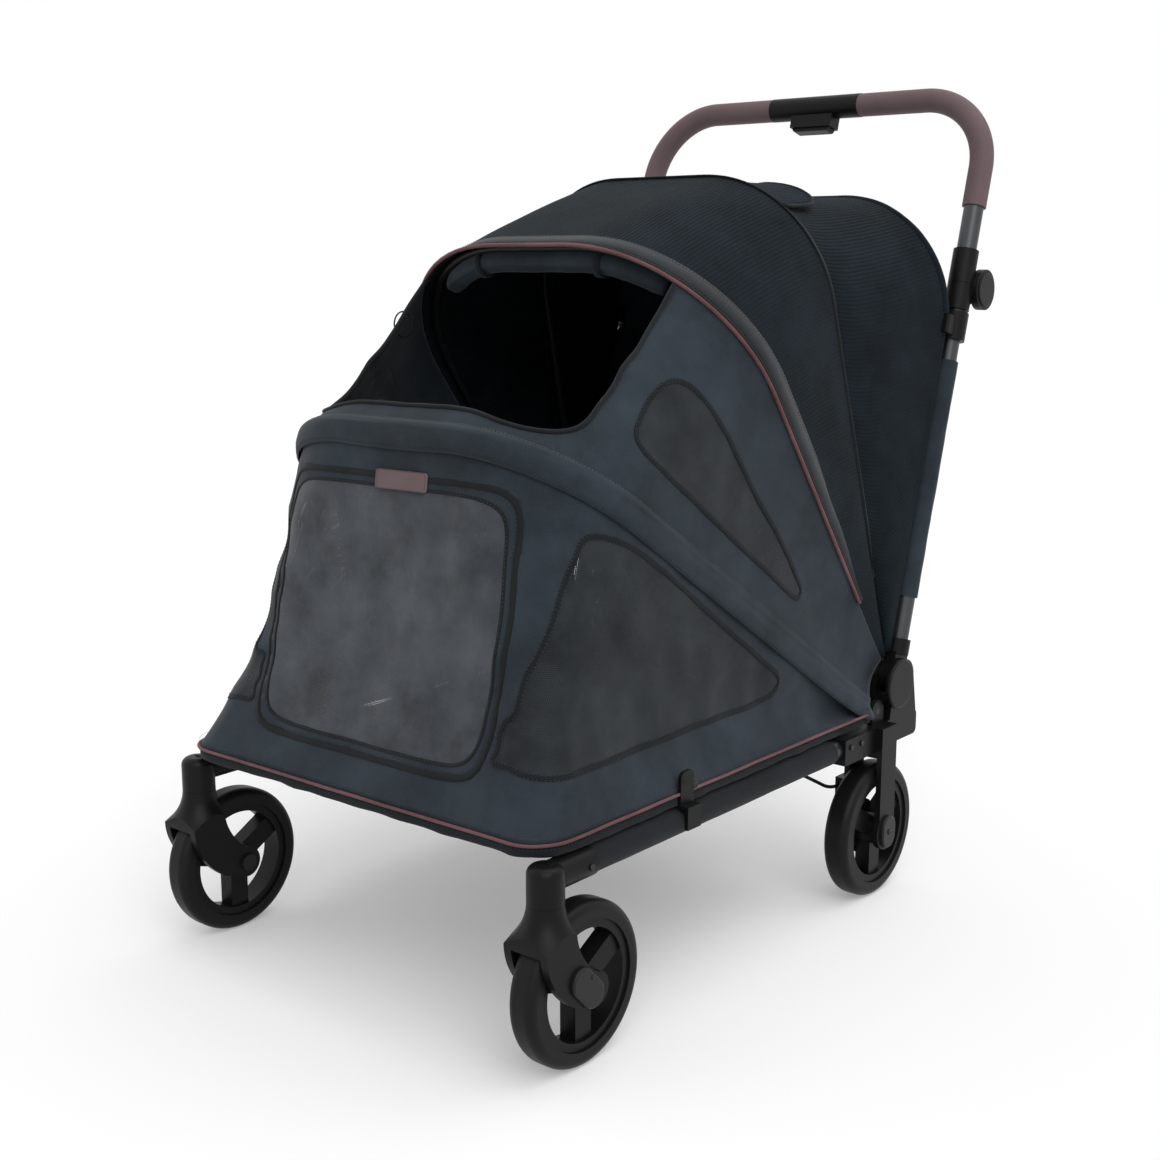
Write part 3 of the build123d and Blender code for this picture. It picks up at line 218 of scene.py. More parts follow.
def metalFinish(name, look):
    finish, tree, shader = newFinish(name)
    spot = tree.nodes.new("ShaderNodeTexCoord").outputs["Object"]
    cloudy = noiseOut(tree, spot, 10.0, 4.0)
    grain = noiseOut(tree, spot, 900.0, 2.0)
    tintInto(tree, shader, cloudy, look["colour"], (0.85, 1.15))
    shader.inputs["Metallic"].default_value = look["metal"]
    bumpInto(tree, shader, grain, 0.05, 0.0001)
    roughInto(tree, shader, cloudy, look["rough"] - 0.06, look["rough"] + 0.08)
    return finish


def leatherFinish(name, look):
    finish, tree, shader = newFinish(name)
    spot = tree.nodes.new("ShaderNodeTexCoord").outputs["Object"]
    cells = addNode(tree, "ShaderNodeTexVoronoi", Scale=look["grain"])
    tree.links.new(spot, cells.inputs["Vector"])
    cloudy = noiseOut(tree, spot, 22.0, 4.0)
    tintInto(tree, shader, cloudy, look["colour"], (0.78, 1.22))
    bumpInto(tree, shader, cells.outputs["Distance"], 0.35, 0.0004)
    roughInto(tree, shader, cloudy, 0.5, 0.68)
    shader.inputs["Specular IOR Level"].default_value = 0.2
    return finish


clothLooks = {
    "charcoalCloth": {
        "colour": (0.026, 0.0355, 0.045), "rough": 0.78, "sheen": 0.1,
        "thread": 0.0016, "bump": 0.22, "depth": 0.0006},
    "darkCloth": {
        "colour": (0.011, 0.0135, 0.016), "rough": 0.82, "sheen": 0.1,
        "thread": 0.0018, "bump": 0.2, "depth": 0.0006},
    "canopyCloth": {
        "colour": (0.0098, 0.0148, 0.0196), "rough": 0.76, "sheen": 0.03, "gloss": 0.05,
        "thread": 0.002, "bump": 0.6, "depth": 0.0018, "rib": 0.0056, "ribWander": 1.4},
    "bandCloth": {
        "colour": (0.022, 0.026, 0.03), "rough": 0.7, "sheen": 0.15,
        "thread": 0.0024, "bump": 0.35, "depth": 0.0008},
    "cushionCloth": {
        "colour": (0.05, 0.055, 0.06), "rough": 0.85, "sheen": 0.15,
        "thread": 0.0024, "bump": 0.3, "depth": 0.0008},
    "roseTrim": {
        "colour": (0.15, 0.068, 0.075), "rough": 0.6, "sheen": 0.1,
        "thread": 0.0011, "bump": 0.3, "depth": 0.0004},
    "zipTape": {
        "colour": (0.01, 0.011, 0.012), "rough": 0.7, "sheen": 0.05,
        "thread": 0.0013, "bump": 0.35, "depth": 0.0005},
    "thread": {
        "colour": (0.026, 0.03, 0.034), "rough": 0.6, "sheen": 0.1,
        "thread": 0.0008, "bump": 0.2, "depth": 0.0002},
}
meshLooks = {
    "openMesh": {
        "colour": (0.026, 0.031, 0.036), "rough": 0.62, "sheen": 0.12, "hole": 0.0021, "open": 0.42},
    "doorMesh": {
        "colour": (0.066, 0.075, 0.088), "rough": 0.62, "sheen": 0.3, "hole": 0.0021, "open": 0.42},
}
plasticLooks = {
    "blackPlastic": {"colour": (0.006, 0.006, 0.0065), "rough": 0.4, "bump": 0.12, "gloss": 0.13},
    "wheelPlastic": {"colour": (0.006, 0.006, 0.0065), "rough": 0.38, "bump": 0.1, "gloss": 0.13},
    "tyreRubber": {"colour": (0.008, 0.008, 0.0085), "rough": 0.42, "bump": 0.3, "gloss": 0.13},
    "cableJacket": {"colour": (0.006, 0.006, 0.006), "rough": 0.4, "bump": 0.05, "gloss": 0.2},
    "coverPlastic": {"colour": (0.013, 0.013, 0.0135), "rough": 0.36, "bump": 0.08, "gloss": 0.2},
    "deckBoard": {"colour": (0.014, 0.014, 0.0145), "rough": 0.6, "bump": 0.25, "gloss": 0.2},
}
metalLooks = {
    "gunmetalTube": {"colour": (0.06, 0.064, 0.067), "rough": 0.33, "metal": 0.8},
    "bowRod": {"colour": (0.016, 0.016, 0.017), "rough": 0.5, "metal": 0.5},
    "plainSteel": {"colour": (0.42, 0.42, 0.43), "rough": 0.3, "metal": 1.0},
    "darkScrew": {"colour": (0.035, 0.035, 0.036), "rough": 0.35, "metal": 0.9},
}
leatherLooks = {"brownLeather": {"colour": (0.145, 0.1, 0.106), "grain": 900.0}}
finishes = {}
for makeFinish, looks in ((clothFinish, clothLooks), (meshFinish, meshLooks), (plasticFinish, plasticLooks),
                          (metalFinish, metalLooks), (leatherFinish, leatherLooks)):
    for finishName, finishLook in looks.items():
        finishes[finishName] = makeFinish(finishName, finishLook)
print("finishes made:", len(finishes))


# Hard pieces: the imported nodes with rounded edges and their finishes

nodeFinish = {
    "tyreRubber": ["front_tyre_left", "front_tyre_right", "rear_tyre_left", "rear_tyre_right"],
    "wheelPlastic": ["front_rim_left", "front_rim_right", "rear_rim_left", "rear_rim_right"],
    "blackPlastic": [
        "caster_fork_left", "caster_fork_right", "front_corner_left", "front_corner_right",
        "rear_bracket_left", "rear_bracket_right", "brake_pedal", "cable_stops", "hinge_covers",
        "post_knuckles", "canopy_clips", "handle_housings", "handle_lugs", "handle_core", "release_trigger",
        "tilt_button_left", "tilt_button_right", "side_clips"],
    "coverPlastic": ["front_axle_left", "front_axle_right", "rear_axles"],
    "plainSteel": ["kingpins", "brake_pin_left", "brake_pin_right", "hinge_pins", "joint_pins"],
    "darkScrew": ["frame_screws", "hoop_pins"],
    "gunmetalTube": [
        "side_rail_left", "side_rail_right", "front_cross_tube", "rear_cross_tube",
        "post_left", "post_right", "handle_bar"],
    "bowRod": ["front_hoop", "canopy_bow", "middle_bow", "rear_bow"],
    "deckBoard": ["deck_board"],
    "brownLeather": ["grip_left", "grip_right"],
}
softened = {"blackPlastic": 0.0018, "wheelPlastic": 0.0028}   # rounding of moulded edges
softSteps, softAngle = 3, deg(35.0)


def dressNode(name, finish):
    node = nodes[name]
    node.data.materials.clear()
    node.data.materials.append(finishes[finish])
    node.data.polygons.foreach_set("use_smooth", [True] * len(node.data.polygons))
    node.data.set_sharp_from_angle(angle=softAngle)
    if finish in softened:
        edge = node.modifiers.new("rounded", "BEVEL")
        edge.width, edge.segments = softened[finish], softSteps
        edge.limit_method, edge.angle_limit = "ANGLE", softAngle
        edge.harden_normals = True


for finishName, members in nodeFinish.items():
    for member in members:
        dressNode(member, finishName)
print("hard pieces dressed")


# Lines that the cloth hangs on

lineCounts = {"leg": 60, "arc": 18, "bar": 40}       # points along the leg, corner and bar of a bow line
hemHeight = 0.265
bows = {
    "hem": {
        "pivot": (0.0, hoopPivot[1], hemHeight), "angle": 0.0,
        "foot": 0.302, "half": 0.302, "reach": 0.708, "corner": 0.045},
    "hoop": {
        "pivot": hoopPivot, "angle": 34.3,
        "foot": 0.294, "half": 0.245, "reach": 0.749, "corner": 0.177},
    "canopy": {
        "pivot": hinge, "angle": 53.1,
        "foot": 0.283, "half": 0.282, "reach": 0.740, "corner": 0.218},
    "middle": {
        "pivot": hinge, "angle": 76.1,
        "foot": 0.283, "half": 0.243, "reach": 0.704, "corner": 0.174},
}


def halfToWhole(half):
    mirrored = half[-2::-1] * np.array((-1.0, 1.0))
    return np.vstack((half, mirrored))


def bentLine(startHalf, half, start, reach, radius):
    foot, corner = np.array((startHalf, start)), np.array((half, reach))
    along = (corner - foot) / np.linalg.norm(corner - foot)
    turn = math.acos(-along[0])
    cut = radius * math.tan(turn / 2)
    legEnd, barStart = corner - along * cut, corner - np.array((cut, 0.0))
    centre = legEnd + np.array((-along[1], along[0])) * radius
    points = [foot + (legEnd - foot) * i / lineCounts["leg"] for i in range(lineCounts["leg"])]
    spoke = legEnd - centre
    for i in range(lineCounts["arc"]):
        a = turn * i / lineCounts["arc"]
        points.append(centre + np.array((spoke[0] * math.cos(a) - spoke[1] * math.sin(a),
                                         spoke[0] * math.sin(a) + spoke[1] * math.cos(a))))
    steps = lineCounts["bar"] // 2
    points += [barStart * (1 - i / steps) + np.array((0.0, reach)) * i / steps for i in range(steps + 1)]
    return halfToWhole(np.array(points))


def swungUp(flat, pivot, angle):
    # A flat outline turned up about its pivot
    a = deg(angle)
    fore, rise = flat[:, 1] * math.cos(a), flat[:, 1] * math.sin(a)
    return np.column_stack((flat[:, 0], pivot[1] - fore, pivot[2] + rise))


def bowLine(name, start, grow=0.0):
    bow = bows[name]
    startHalf = bow["foot"] + (bow["half"] - bow["foot"]) * start / bow["reach"]
    flat = bentLine(startHalf + grow, bow["half"] + grow, start, bow["reach"] + grow, bow["corner"] + grow)
    return swungUp(flat, bow["pivot"], bow["angle"])


def postPoint(x, back, up):
    return np.array((x, hinge[1], hinge[2])) + postBack * back + postUp * up


rearEdge = {"half": 0.293, "back": -0.024, "clip": 0.500, "tilt": 26.0, "rise": 0.178, "corner": 0.150}


def rearLine(start, edge=rearEdge):
    flat = bentLine(edge["half"], edge["half"], start, edge["clip"] + edge["rise"], edge["corner"])
    tilt = deg(edge["tilt"])
    points = []
    for x, up in flat:
        over = max(0.0, up - edge["clip"])
        back = edge["back"] - over * math.sin(tilt)
        points.append(postPoint(x, back, min(up, edge["clip"]) + over * math.cos(tilt)))
    return np.array(points)


# Cloth panels: grids between two lines, with openings and mesh windows cut along smooth outlines

def unitRows(rows):
    return rows / np.linalg.norm(rows, axis=1, keepdims=True)


def ruled(first, second, rows):
    share = np.linspace(0.0, 1.0, rows + 1)[:, None, None]
    return first[None] * (1 - share) + second[None] * share


def gridNormals(grid):
    along = np.gradient(grid, axis=1)
    across = np.gradient(grid, axis=0)
    normal = np.cross(across, along)
    return normal / np.maximum(np.linalg.norm(normal, axis=2, keepdims=True), 1e-9)


def clothNoise(grid, scale, seed):
    flat = (grid * np.array(scale)).reshape(-1, 3) + seed
    return np.array([noise.noise(Vector(p)) for p in flat]).reshape(grid.shape[:2])


def creases(grid, scale, seed):
    return 0.5 - np.abs(clothNoise(grid, scale, seed)) * 1.6   # sharp ridges between soft hollows


def gridLengths(grid):
    steps = np.linalg.norm(np.diff(grid, axis=1), axis=2)
    along = np.concatenate((np.zeros((grid.shape[0], 1)), np.cumsum(steps, axis=1)), axis=1)
    along -= along[:, [grid.shape[1] // 2]]
    rows = np.linalg.norm(np.diff(grid, axis=0), axis=2)
    across = np.concatenate((np.zeros((1, grid.shape[1])), np.cumsum(rows, axis=0)), axis=0)
    return along, across


def convexField(first, second, corners, soft):
    # Below zero inside the polygon; a larger soft rounds its corners more
    corners = np.array(corners)
    middle = corners.mean(0)
    total = np.zeros(first.shape)
    for a, b in zip(corners, np.roll(corners, -1, axis=0)):
        edge = (b - a) / np.linalg.norm(b - a)
        normal = np.array((edge[1], -edge[0]))
        if (middle - a) @ normal > 0:
            normal = -normal
        away = (first - a[0]) * normal[0] + (second - a[1]) * normal[1]
        total += np.exp(np.clip(away / soft, -60, 60))
    return np.log(total) * soft


def roundedBox(first, second, low, high, radius):
    centre = (np.array(low) + np.array(high)) / 2
    half = (np.array(high) - np.array(low)) / 2 - radius
    across = np.abs(first - centre[0]) - half[0]
    along = np.abs(second - centre[1]) - half[1]
    outside = np.hypot(np.maximum(across, 0), np.maximum(along, 0))
    return outside + np.minimum(np.maximum(across, along), 0) - radius


def cutPanel(grid, fields, hole=None, keep=None, windows=()):
    # Splits every grid face along the fields' zero lines, so that each outline is smooth
    normals = gridNormals(grid)
    along, across = gridLengths(grid)
    rows, columns = grid.shape[:2]
    share = np.repeat(np.linspace(0, 1, rows)[:, None], columns, axis=1)
    names = list(fields)
    parts = [grid, along[..., None], across[..., None], normals, share[..., None]]
    parts += [fields[n][..., None] for n in names]
    data = list(np.concatenate(parts, axis=2).reshape(rows * columns, -1))
    column = {n: 9 + i for i, n in enumerate(names)}
    cache, segments = {}, {n: [] for n in names}

    def between(a, b, field):
        key = (field, min(a, b), max(a, b))
        if key not in cache:
            t = data[a][field] / (data[a][field] - data[b][field])
            middle = data[a] * (1 - t) + data[b] * t
            middle[field] = 0.0
            data.append(middle)
            cache[key] = len(data) - 1
        return cache[key]

    def split(face, name):
        field = column[name]
        inside, outside, cut = [], [], []
        for a, b in zip(face, face[1:] + face[:1]):
            (inside if data[a][field] < 0 else outside).append(a)
            if (data[a][field] < 0) != (data[b][field] < 0):
                m = between(a, b, field)
                inside.append(m)
                outside.append(m)
                cut.append(m)
        if len(cut) == 2:
            segments[name].append(tuple(cut))
        return inside, outside

    faces = []
    for j in range(rows - 1):
        for i in range(columns - 1):
            a = j * columns + i
            todo = [[a, a + columns, a + columns + 1, a + 1]]
            if hole:
                todo = [split(f, hole)[1] for f in todo]
            if keep:
                todo = [split(f, keep)[0] for f in todo if len(f) > 2]
            marked = [(f, 0) for f in todo if len(f) > 2]
            for w in windows:
                halves = [(split(f, w), mark) for f, mark in marked]
                marked = [(h[1], mark) for h, mark in halves] + [(h[0], 1) for h, mark in halves]
                marked = [(f, mark) for f, mark in marked if len(f) > 2]
            faces += marked
    return np.array(data), faces, segments


def chainLoops(data, segments):
    nextTo = {}
    for a, b in segments:
        nextTo.setdefault(a, []).append(b)
        nextTo.setdefault(b, []).append(a)
    loops, seen = [], set()
    starts = [v for v in nextTo if len(nextTo[v]) == 1] + list(nextTo)
    for start in starts:
        if start in seen:
            continue
        loop, here = [start], start
        seen.add(start)
        while True:
            ahead = [v for v in nextTo[here] if v not in seen]
            if not ahead:
                break
            here = ahead[0]
            seen.add(here)
            loop.append(here)
        closed = loop[0] in nextTo[loop[-1]] and len(loop) > 2
        loops.append((data[loop][:, 0:3], data[loop][:, 5:8], closed))
    return [l for l in loops if len(l[0]) > 4]


def meshObject(name, points, faces, materials, marks=None, uv=None, smooth=True):
    mesh = bpy.data.meshes.new(name)
    mesh.from_pydata([tuple(p) for p in points], [], [list(f) for f in faces])
    for finish in materials:
        mesh.materials.append(finishes[finish])
    if marks is not None:
        mesh.polygons.foreach_set("material_index", marks)
    if uv is not None:
        layer = mesh.uv_layers.new(name="cut")
        loopVertex = np.zeros(len(mesh.loops), np.int32)
        mesh.loops.foreach_get("vertex_index", loopVertex)
        layer.data.foreach_set("uv", np.asarray(uv, np.float32)[loopVertex].ravel())
    mesh.polygons.foreach_set("use_smooth", [smooth] * len(mesh.polygons))
    mesh.update()
    made = bpy.data.objects.new(name, mesh)
    scene.collection.objects.link(made)
    return made


def panelObject(name, cut, materials):
    data, faces, segments = cut
    used = sorted({v for f, mark in faces for v in f})
    order = {v: i for i, v in enumerate(used)}
    points = data[used]
    made = meshObject(name, points[:, 0:3], [[order[v] for v in f] for f, mark in faces], materials,
                      [mark for f, mark in faces], points[:, 3:5])
    share = made.data.attributes.new("share", "FLOAT", "POINT")
    share.data.foreach_set("value", points[:, 8].astype(np.float32))
    return made


def thicken(piece, thickness):
    skin = piece.modifiers.new("thickness", "SOLIDIFY")
    skin.thickness = thickness
    skin.offset = -1.0


def sewPanel(name, cut, materials, thickness, node):
    # A cut panel that takes the place of a node, or of none
    panel = panelObject(name, cut, materials)
    thicken(panel, thickness)
    if node:
        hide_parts(node)
    return panel


def sewOn(piece, body):
    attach(piece, body)


def setBlend(piece, weights):
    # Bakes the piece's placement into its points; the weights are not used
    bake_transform(piece)


def attributeOf(piece, name):
    values = np.zeros(len(piece.data.vertices), np.float32)
    piece.data.attributes[name].data.foreach_get("value", values)
    return values


def pointsOf(piece):
    points = np.zeros(len(piece.data.vertices) * 3, np.float32)
    piece.data.vertices.foreach_get("co", points)
    return points.reshape(-1, 3).astype(float)


def foldShare(points, pivot, fullAngle):
    angle = np.degrees(np.arctan2(points[:, 2] - pivot[2], pivot[1] - points[:, 1]))
    return np.clip(angle / fullAngle, 0.0, 1.0)


# Trims: profiles swept along a line on the cloth

def evenPoints(points, normals, step, closed, smoothing=2):
    points, normals = np.array(points, float), np.array(normals, float)
    for _ in range(smoothing):
        if closed:
            points = (np.roll(points, 1, 0) + 2 * points + np.roll(points, -1, 0)) / 4
        else:
            points[1:-1] = (points[:-2] + 2 * points[1:-1] + points[2:]) / 4
    if closed:
        points, normals = np.vstack((points, points[:1])), np.vstack((normals, normals[:1]))
    length = np.concatenate(([0.0], np.cumsum(np.linalg.norm(np.diff(points, axis=0), axis=1))))
    count = max(8, int(length[-1] / step))
    spots = np.linspace(0, length[-1], count + 1)
    spots = spots[:-1] if closed else spots
    points = np.column_stack([np.interp(spots, length, points[:, k]) for k in range(3)])
    normals = np.column_stack([np.interp(spots, length, normals[:, k]) for k in range(3)])
    return points, unitRows(normals)


def tangentsOf(points, closed):
    if closed:
        along = np.roll(points, -1, 0) - np.roll(points, 1, 0)
    else:
        along = np.gradient(points, axis=0)
    return along / np.maximum(np.linalg.norm(along, axis=1, keepdims=True), 1e-9)


def sweepTrim(name, points, normals, profile, closed, finish, openProfile=False, swell=None):
    # swell is a scale of the profile for each point of the line
    along = tangentsOf(points, closed)
    across = np.cross(along, normals)
    across /= np.maximum(np.linalg.norm(across, axis=1, keepdims=True), 1e-9)
    up = np.cross(across, along)
    size, count = len(profile), len(points)
    swell = np.ones((count, 1)) if swell is None else np.asarray(swell).reshape(count, 1)
    ring = [points + (across * a + up * b) * swell for a, b in profile]
    vertices = np.stack(ring, axis=1).reshape(-1, 3)
    run = np.concatenate(([0.0], np.cumsum(np.linalg.norm(np.diff(points, axis=0), axis=1))))
    girth = np.concatenate(([0.0], np.cumsum(np.linalg.norm(np.diff(np.array(profile), axis=0), axis=1))))
    uv = np.stack(np.meshgrid(run, girth, indexing="ij"), axis=2).reshape(-1, 2)
    faces = []
    for i in range(count if closed else count - 1):
        a, b = i * size, ((i + 1) % count) * size
        for k in range(size - 1 if openProfile else size):
            m = (k + 1) % size
            faces.append((a + k, a + m, b + m, b + k))
    if not closed and not openProfile:
        faces += [tuple(range(size))[::-1], tuple(range((count - 1) * size, count * size))]
    return meshObject(name, vertices, faces, [finish], uv=uv)


def roundProfile(radius, sides=10, flat=1.0, lift=0.0):
    turns = [2 * math.pi * k / sides for k in range(sides)]
    return [(radius * math.cos(a), lift + flat * radius * math.sin(a)) for a in turns]


def tapeProfile(width, height, shift=0.0):
    half, edge = width / 2, min(height * 0.5, width * 0.2)
    return [(shift + half, 0.0), (shift + half - edge, height), (shift, height * 1.15),
            (shift - half + edge, height), (shift - half, 0.0), (shift, -height * 0.4)]


def stitchRow(name, points, normals, closed, look):
    points, normals = evenPoints(points, normals, look["pitch"], closed, 0)
    along = tangentsOf(points, closed)
    across = np.cross(along, normals)
    half, wide = look["length"] / 2, look["width"] / 2
    vertices, faces = [], []
    for p, n, t, c in zip(points, normals, along, across):
        k = len(vertices)
        low = n * wide * 0.3
        vertices += [p - t * half, p + c * wide + low, p + t * half, p - c * wide + low, p + n * wide * 1.4]
        faces += [(k, k + 1, k + 4), (k + 1, k + 2, k + 4), (k + 2, k + 3, k + 4), (k + 3, k, k + 4),
                  (k, k + 3, k + 2, k + 1)]
    return meshObject(name, vertices, faces, ["thread"])


stitchLook = {"pitch": 0.0048, "length": 0.0034, "width": 0.0011}
stitchLift = 0.0004                                   # height of a row of stitches above bare cloth
trimStep = {"fine": 0.004, "middling": 0.005, "coarse": 0.006}      # spacing of points along a trim


# Lower shell: front and sides from the hem up to the front hoop

lowerLook = {
    "start": (0.020, 0.004), "rows": 64, "drawIn": 0.024, "sideDrawIn": 0.010, "drawSkew": 0.8,
    "folds": 0.0075, "thickness": 0.0014, "frontReach": 0.68,
    "door": {"half": (0.194, 0.190), "z": (0.306, 0.628), "soft": 0.018, "ahead": 0.52},
    "window": [(-0.345, 0.580), (-0.290, 0.566), (0.010, 0.345), (-0.015, 0.325), (-0.470, 0.325)],
    "windowSoft": 0.009, "windowHalf": 0.2,
}


def frontShare(grid):
    # 1 on the front and its corners, fading to 0 along the sides
    ahead = hoopPivot[1] - grid[..., 1]
    return np.clip(ahead / lowerLook["frontReach"], 0.0, 1.0)


def lowerGrid():
    look = lowerLook
    grid = ruled(bowLine("hem", look["start"][0]), bowLine("hoop", look["start"][1]), look["rows"])
    share = np.linspace(0, 1, look["rows"] + 1)[:, None]
    normals = gridNormals(grid)
    front = frontShare(grid)
    belly = np.sin(np.pi * share ** look["drawSkew"])
    depth = belly * (look["sideDrawIn"] + (look["drawIn"] - look["sideDrawIn"]) * front)
    folds = clothNoise(grid, (9, 9, 5), 3.7) * 0.7 + clothNoise(grid, (26, 26, 9), 8.1) * 0.4
    folds = folds + creases(grid, (7, 7, 16), 1.3) * 0.7 + creases(grid, (15, 12, 6), 6.6) * 0.45
    depth = depth - folds * look["folds"] * np.sin(np.pi * np.clip(share * 1.02, 0, 1)) ** 0.5
    return grid - normals * depth[..., None]


shellGrid = lowerGrid()
gx, gy, gz = shellGrid[..., 0], shellGrid[..., 1], shellGrid[..., 2]
doorLook = lowerLook["door"]
doorCorners = [(doorLook["half"][0], doorLook["z"][0]), (doorLook["half"][1], doorLook["z"][1]),
               (-doorLook["half"][1], doorLook["z"][1]), (-doorLook["half"][0], doorLook["z"][0])]
offFront = np.where(gy < hoopPivot[1] - doorLook["ahead"], 0.0, 1.0)      # the door is only on the front
offSides = np.where(np.abs(gx) > lowerLook["windowHalf"], 0.0, 1.0)       # and the windows on the sides
doorField = convexField(gx, gz, doorCorners, doorLook["soft"]) + offFront
sideField = convexField(gy, gz, lowerLook["window"], lowerLook["windowSoft"]) + offSides
lowerCut = cutPanel(shellGrid, {"door": doorField, "window": sideField}, hole="door", windows=["window"])
lowerShell = sewPanel("lowerShell", lowerCut, ["charcoalCloth", "openMesh"], lowerLook["thickness"],
                      "lower_shell")


def foldWithShell(piece):
    shares = foldShare(pointsOf(piece), hoopPivot, bows["hoop"]["angle"])
    setBlend(piece, shares)


foldWithShell(lowerShell)
lowerLoops = {n: chainLoops(lowerCut[0], s) for n, s in lowerCut[2].items()}
print("lower shell made, outlines:", {n: len(l) for n, l in lowerLoops.items()})


def windowTrim(name, loops, along, look):
    # A flat binding with two rows of stitches round each outline; along() says how a piece moves
    made = []
    for k, (points, normals, closed) in enumerate(loops):
        points, normals = evenPoints(points, normals, trimStep["fine"], closed)
        profile = tapeProfile(look["width"], look["height"])
        made.append(sweepTrim(f"{name}Binding{k}", points, normals, profile, closed, look["finish"]))
        across = np.cross(tangentsOf(points, closed), normals)
        for side in look["stitches"]:
            row = points + across * side + normals * (look["height"] + 0.0001)
            made.append(stitchRow(f"{name}Stitch{k}{'ab'[side > 0]}", row, normals, closed, stitchLook))
    for piece in made:
        along(piece)


bindingLook = {"width": 0.0075, "height": 0.0010, "finish": "darkCloth", "stitches": (-0.0026, 0.0026)}
windowTrim("sideWindow", lowerLoops["window"], foldWithShell, bindingLook)
zipLook = {"width": 0.0075, "height": 0.0011, "finish": "zipTape", "stitches": (0.0055,)}
windowTrim("doorZip", lowerLoops["door"], foldWithShell, zipLook)
print("window bindings made")


# Front door: a mesh panel with a cloth border, hinged on its lower edge

doorPiece = {"gap": 0.0012, "border": 0.012, "thickness": 0.0012, "keep": 0.06}


def rideDoor(piece):
    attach(piece, "door")
    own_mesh(piece)


doorCut = cutPanel(shellGrid, {"edge": doorField + doorPiece["gap"], "mesh": doorField + doorPiece["border"]},
                   keep="edge", windows=["mesh"])
frontDoor = sewPanel("frontDoor", doorCut, ["charcoalCloth", "doorMesh"], doorPiece["thickness"],
                     "front_door")
rideDoor(frontDoor)
doorLoops = chainLoops(doorCut[0], doorCut[2]["mesh"])
windowTrim("doorBorder", doorLoops, rideDoor, {**bindingLook, "width": 0.005, "stitches": (0.0,)})


def onPanel(grid, x, z):
    # The point and normal of the front of a panel nearest to a place seen from the front
    gap = np.hypot(grid[..., 0] - x, grid[..., 2] - z) + np.where(grid[..., 1] > 0.0, 1.0, 0.0)
    j, i = np.unravel_index(np.argmin(gap), gap.shape)
    return grid[j, i], gridNormals(grid)[j, i]


patchLook = {"x": 0.021, "z": 0.621, "width": 0.082, "height": 0.023, "corner": 0.004, "thickness": 0.0022,
             "lift": 0.0016, "layers": [(1.0, 0.0), (1.0, 0.7), (0.985, 1.0), (0.9, 1.08), (0.0, 1.1)],
             "seamIn": 0.93, "seam": {"pitch": 0.0036, "length": 0.0026, "width": 0.0009}}


def makePatch():
    # Plain leather tab sewn over the upper border of the door
    look = patchLook
    spot, normal = onPanel(shellGrid, look["x"], look["z"])
    across = np.cross(np.array((0.0, 0.0, 1.0)), normal)
    across /= np.linalg.norm(across)
    up = np.cross(normal, across)
    outline = []
    for cx, cz, start in ((1, 1, 0), (-1, 1, 90), (-1, -1, 180), (1, -1, 270)):
        for step in range(5):
            a = deg(start + step * 22.5)
            outline.append((cx * (look["width"] / 2 - look["corner"]) + look["corner"] * math.cos(a),
                            cz * (look["height"] / 2 - look["corner"]) + look["corner"] * math.sin(a)))
    points = [spot + normal * (look["lift"] + look["thickness"] * lift) + (across * a + up * b) * size
              for size, lift in look["layers"] for a, b in outline]
    count = len(outline)
    faces = []
    for j in range(len(look["layers"]) - 1):
        for k in range(count):
            a, b = j * count + k, j * count + (k + 1) % count
            faces.append((a, b, b + count, a + count))
    patch = meshObject("doorTab", points, faces + [tuple(range(count))[::-1]], ["brownLeather"])
    top = spot + normal * (look["lift"] + look["thickness"] * look["layers"][-1][1])
    rim = [top + (across * a + up * b) * look["seamIn"] for a, b in outline]
    seam = stitchRow("doorTabStitch", rim, np.tile(normal, (count, 1)), True, look["seam"])
    for piece in (patch, seam):
        rideDoor(piece)


makePatch()
print("front door made")


# Upper shell: from the front hoop up to the canopy, round the mouth

upperLook = {
    "start": (0.004, 0.034), "rows": 60, "sag": 0.007, "folds": 0.0052, "thickness": 0.0014,
    "mouth": {"low": (-0.207, -0.373), "high": (0.207, 0.5), "radius": 0.088},
    "window": [(-0.172, 0.742), (-0.205, 0.735), (-0.258, 0.675), (-0.250, 0.655),
               (0.050, 0.438), (0.064, 0.452)],
    "windowSoft": 0.007, "windowHalf": 0.215, "weights": (0.33, 0.589),
}


def upperGrid():
    look = upperLook
    grid = ruled(bowLine("hoop", look["start"][0]), bowLine("canopy", look["start"][1]), look["rows"])
    share = np.linspace(0, 1, look["rows"] + 1)[:, None]
    folds = clothNoise(grid, (10, 10, 10), 21.3) * 0.7 + clothNoise(grid, (30, 24, 24), 5.9) * 0.35
    folds = folds + creases(grid, (9, 8, 14), 31.7) * 0.6
    depth = np.sin(np.pi * share) * (look["sag"] - folds * look["folds"])
    return grid - gridNormals(grid) * depth[..., None]


roofGrid = upperGrid()
rx, ry, rz = roofGrid[..., 0], roofGrid[..., 1], roofGrid[..., 2]
mouthLook = upperLook["mouth"]
mouthField = roundedBox(rx, ry, mouthLook["low"], mouthLook["high"], mouthLook["radius"])
offGussets = np.where(np.abs(rx) > upperLook["windowHalf"], 0.0, 1.0)
gussetField = convexField(ry, rz, upperLook["window"], upperLook["windowSoft"]) + offGussets
upperCut = cutPanel(roofGrid, {"mouth": mouthField, "window": gussetField}, hole="mouth", windows=["window"])
upperShell = sewPanel("upperShell", upperCut, ["charcoalCloth", "openMesh"], upperLook["thickness"],
                      "upper_shell")


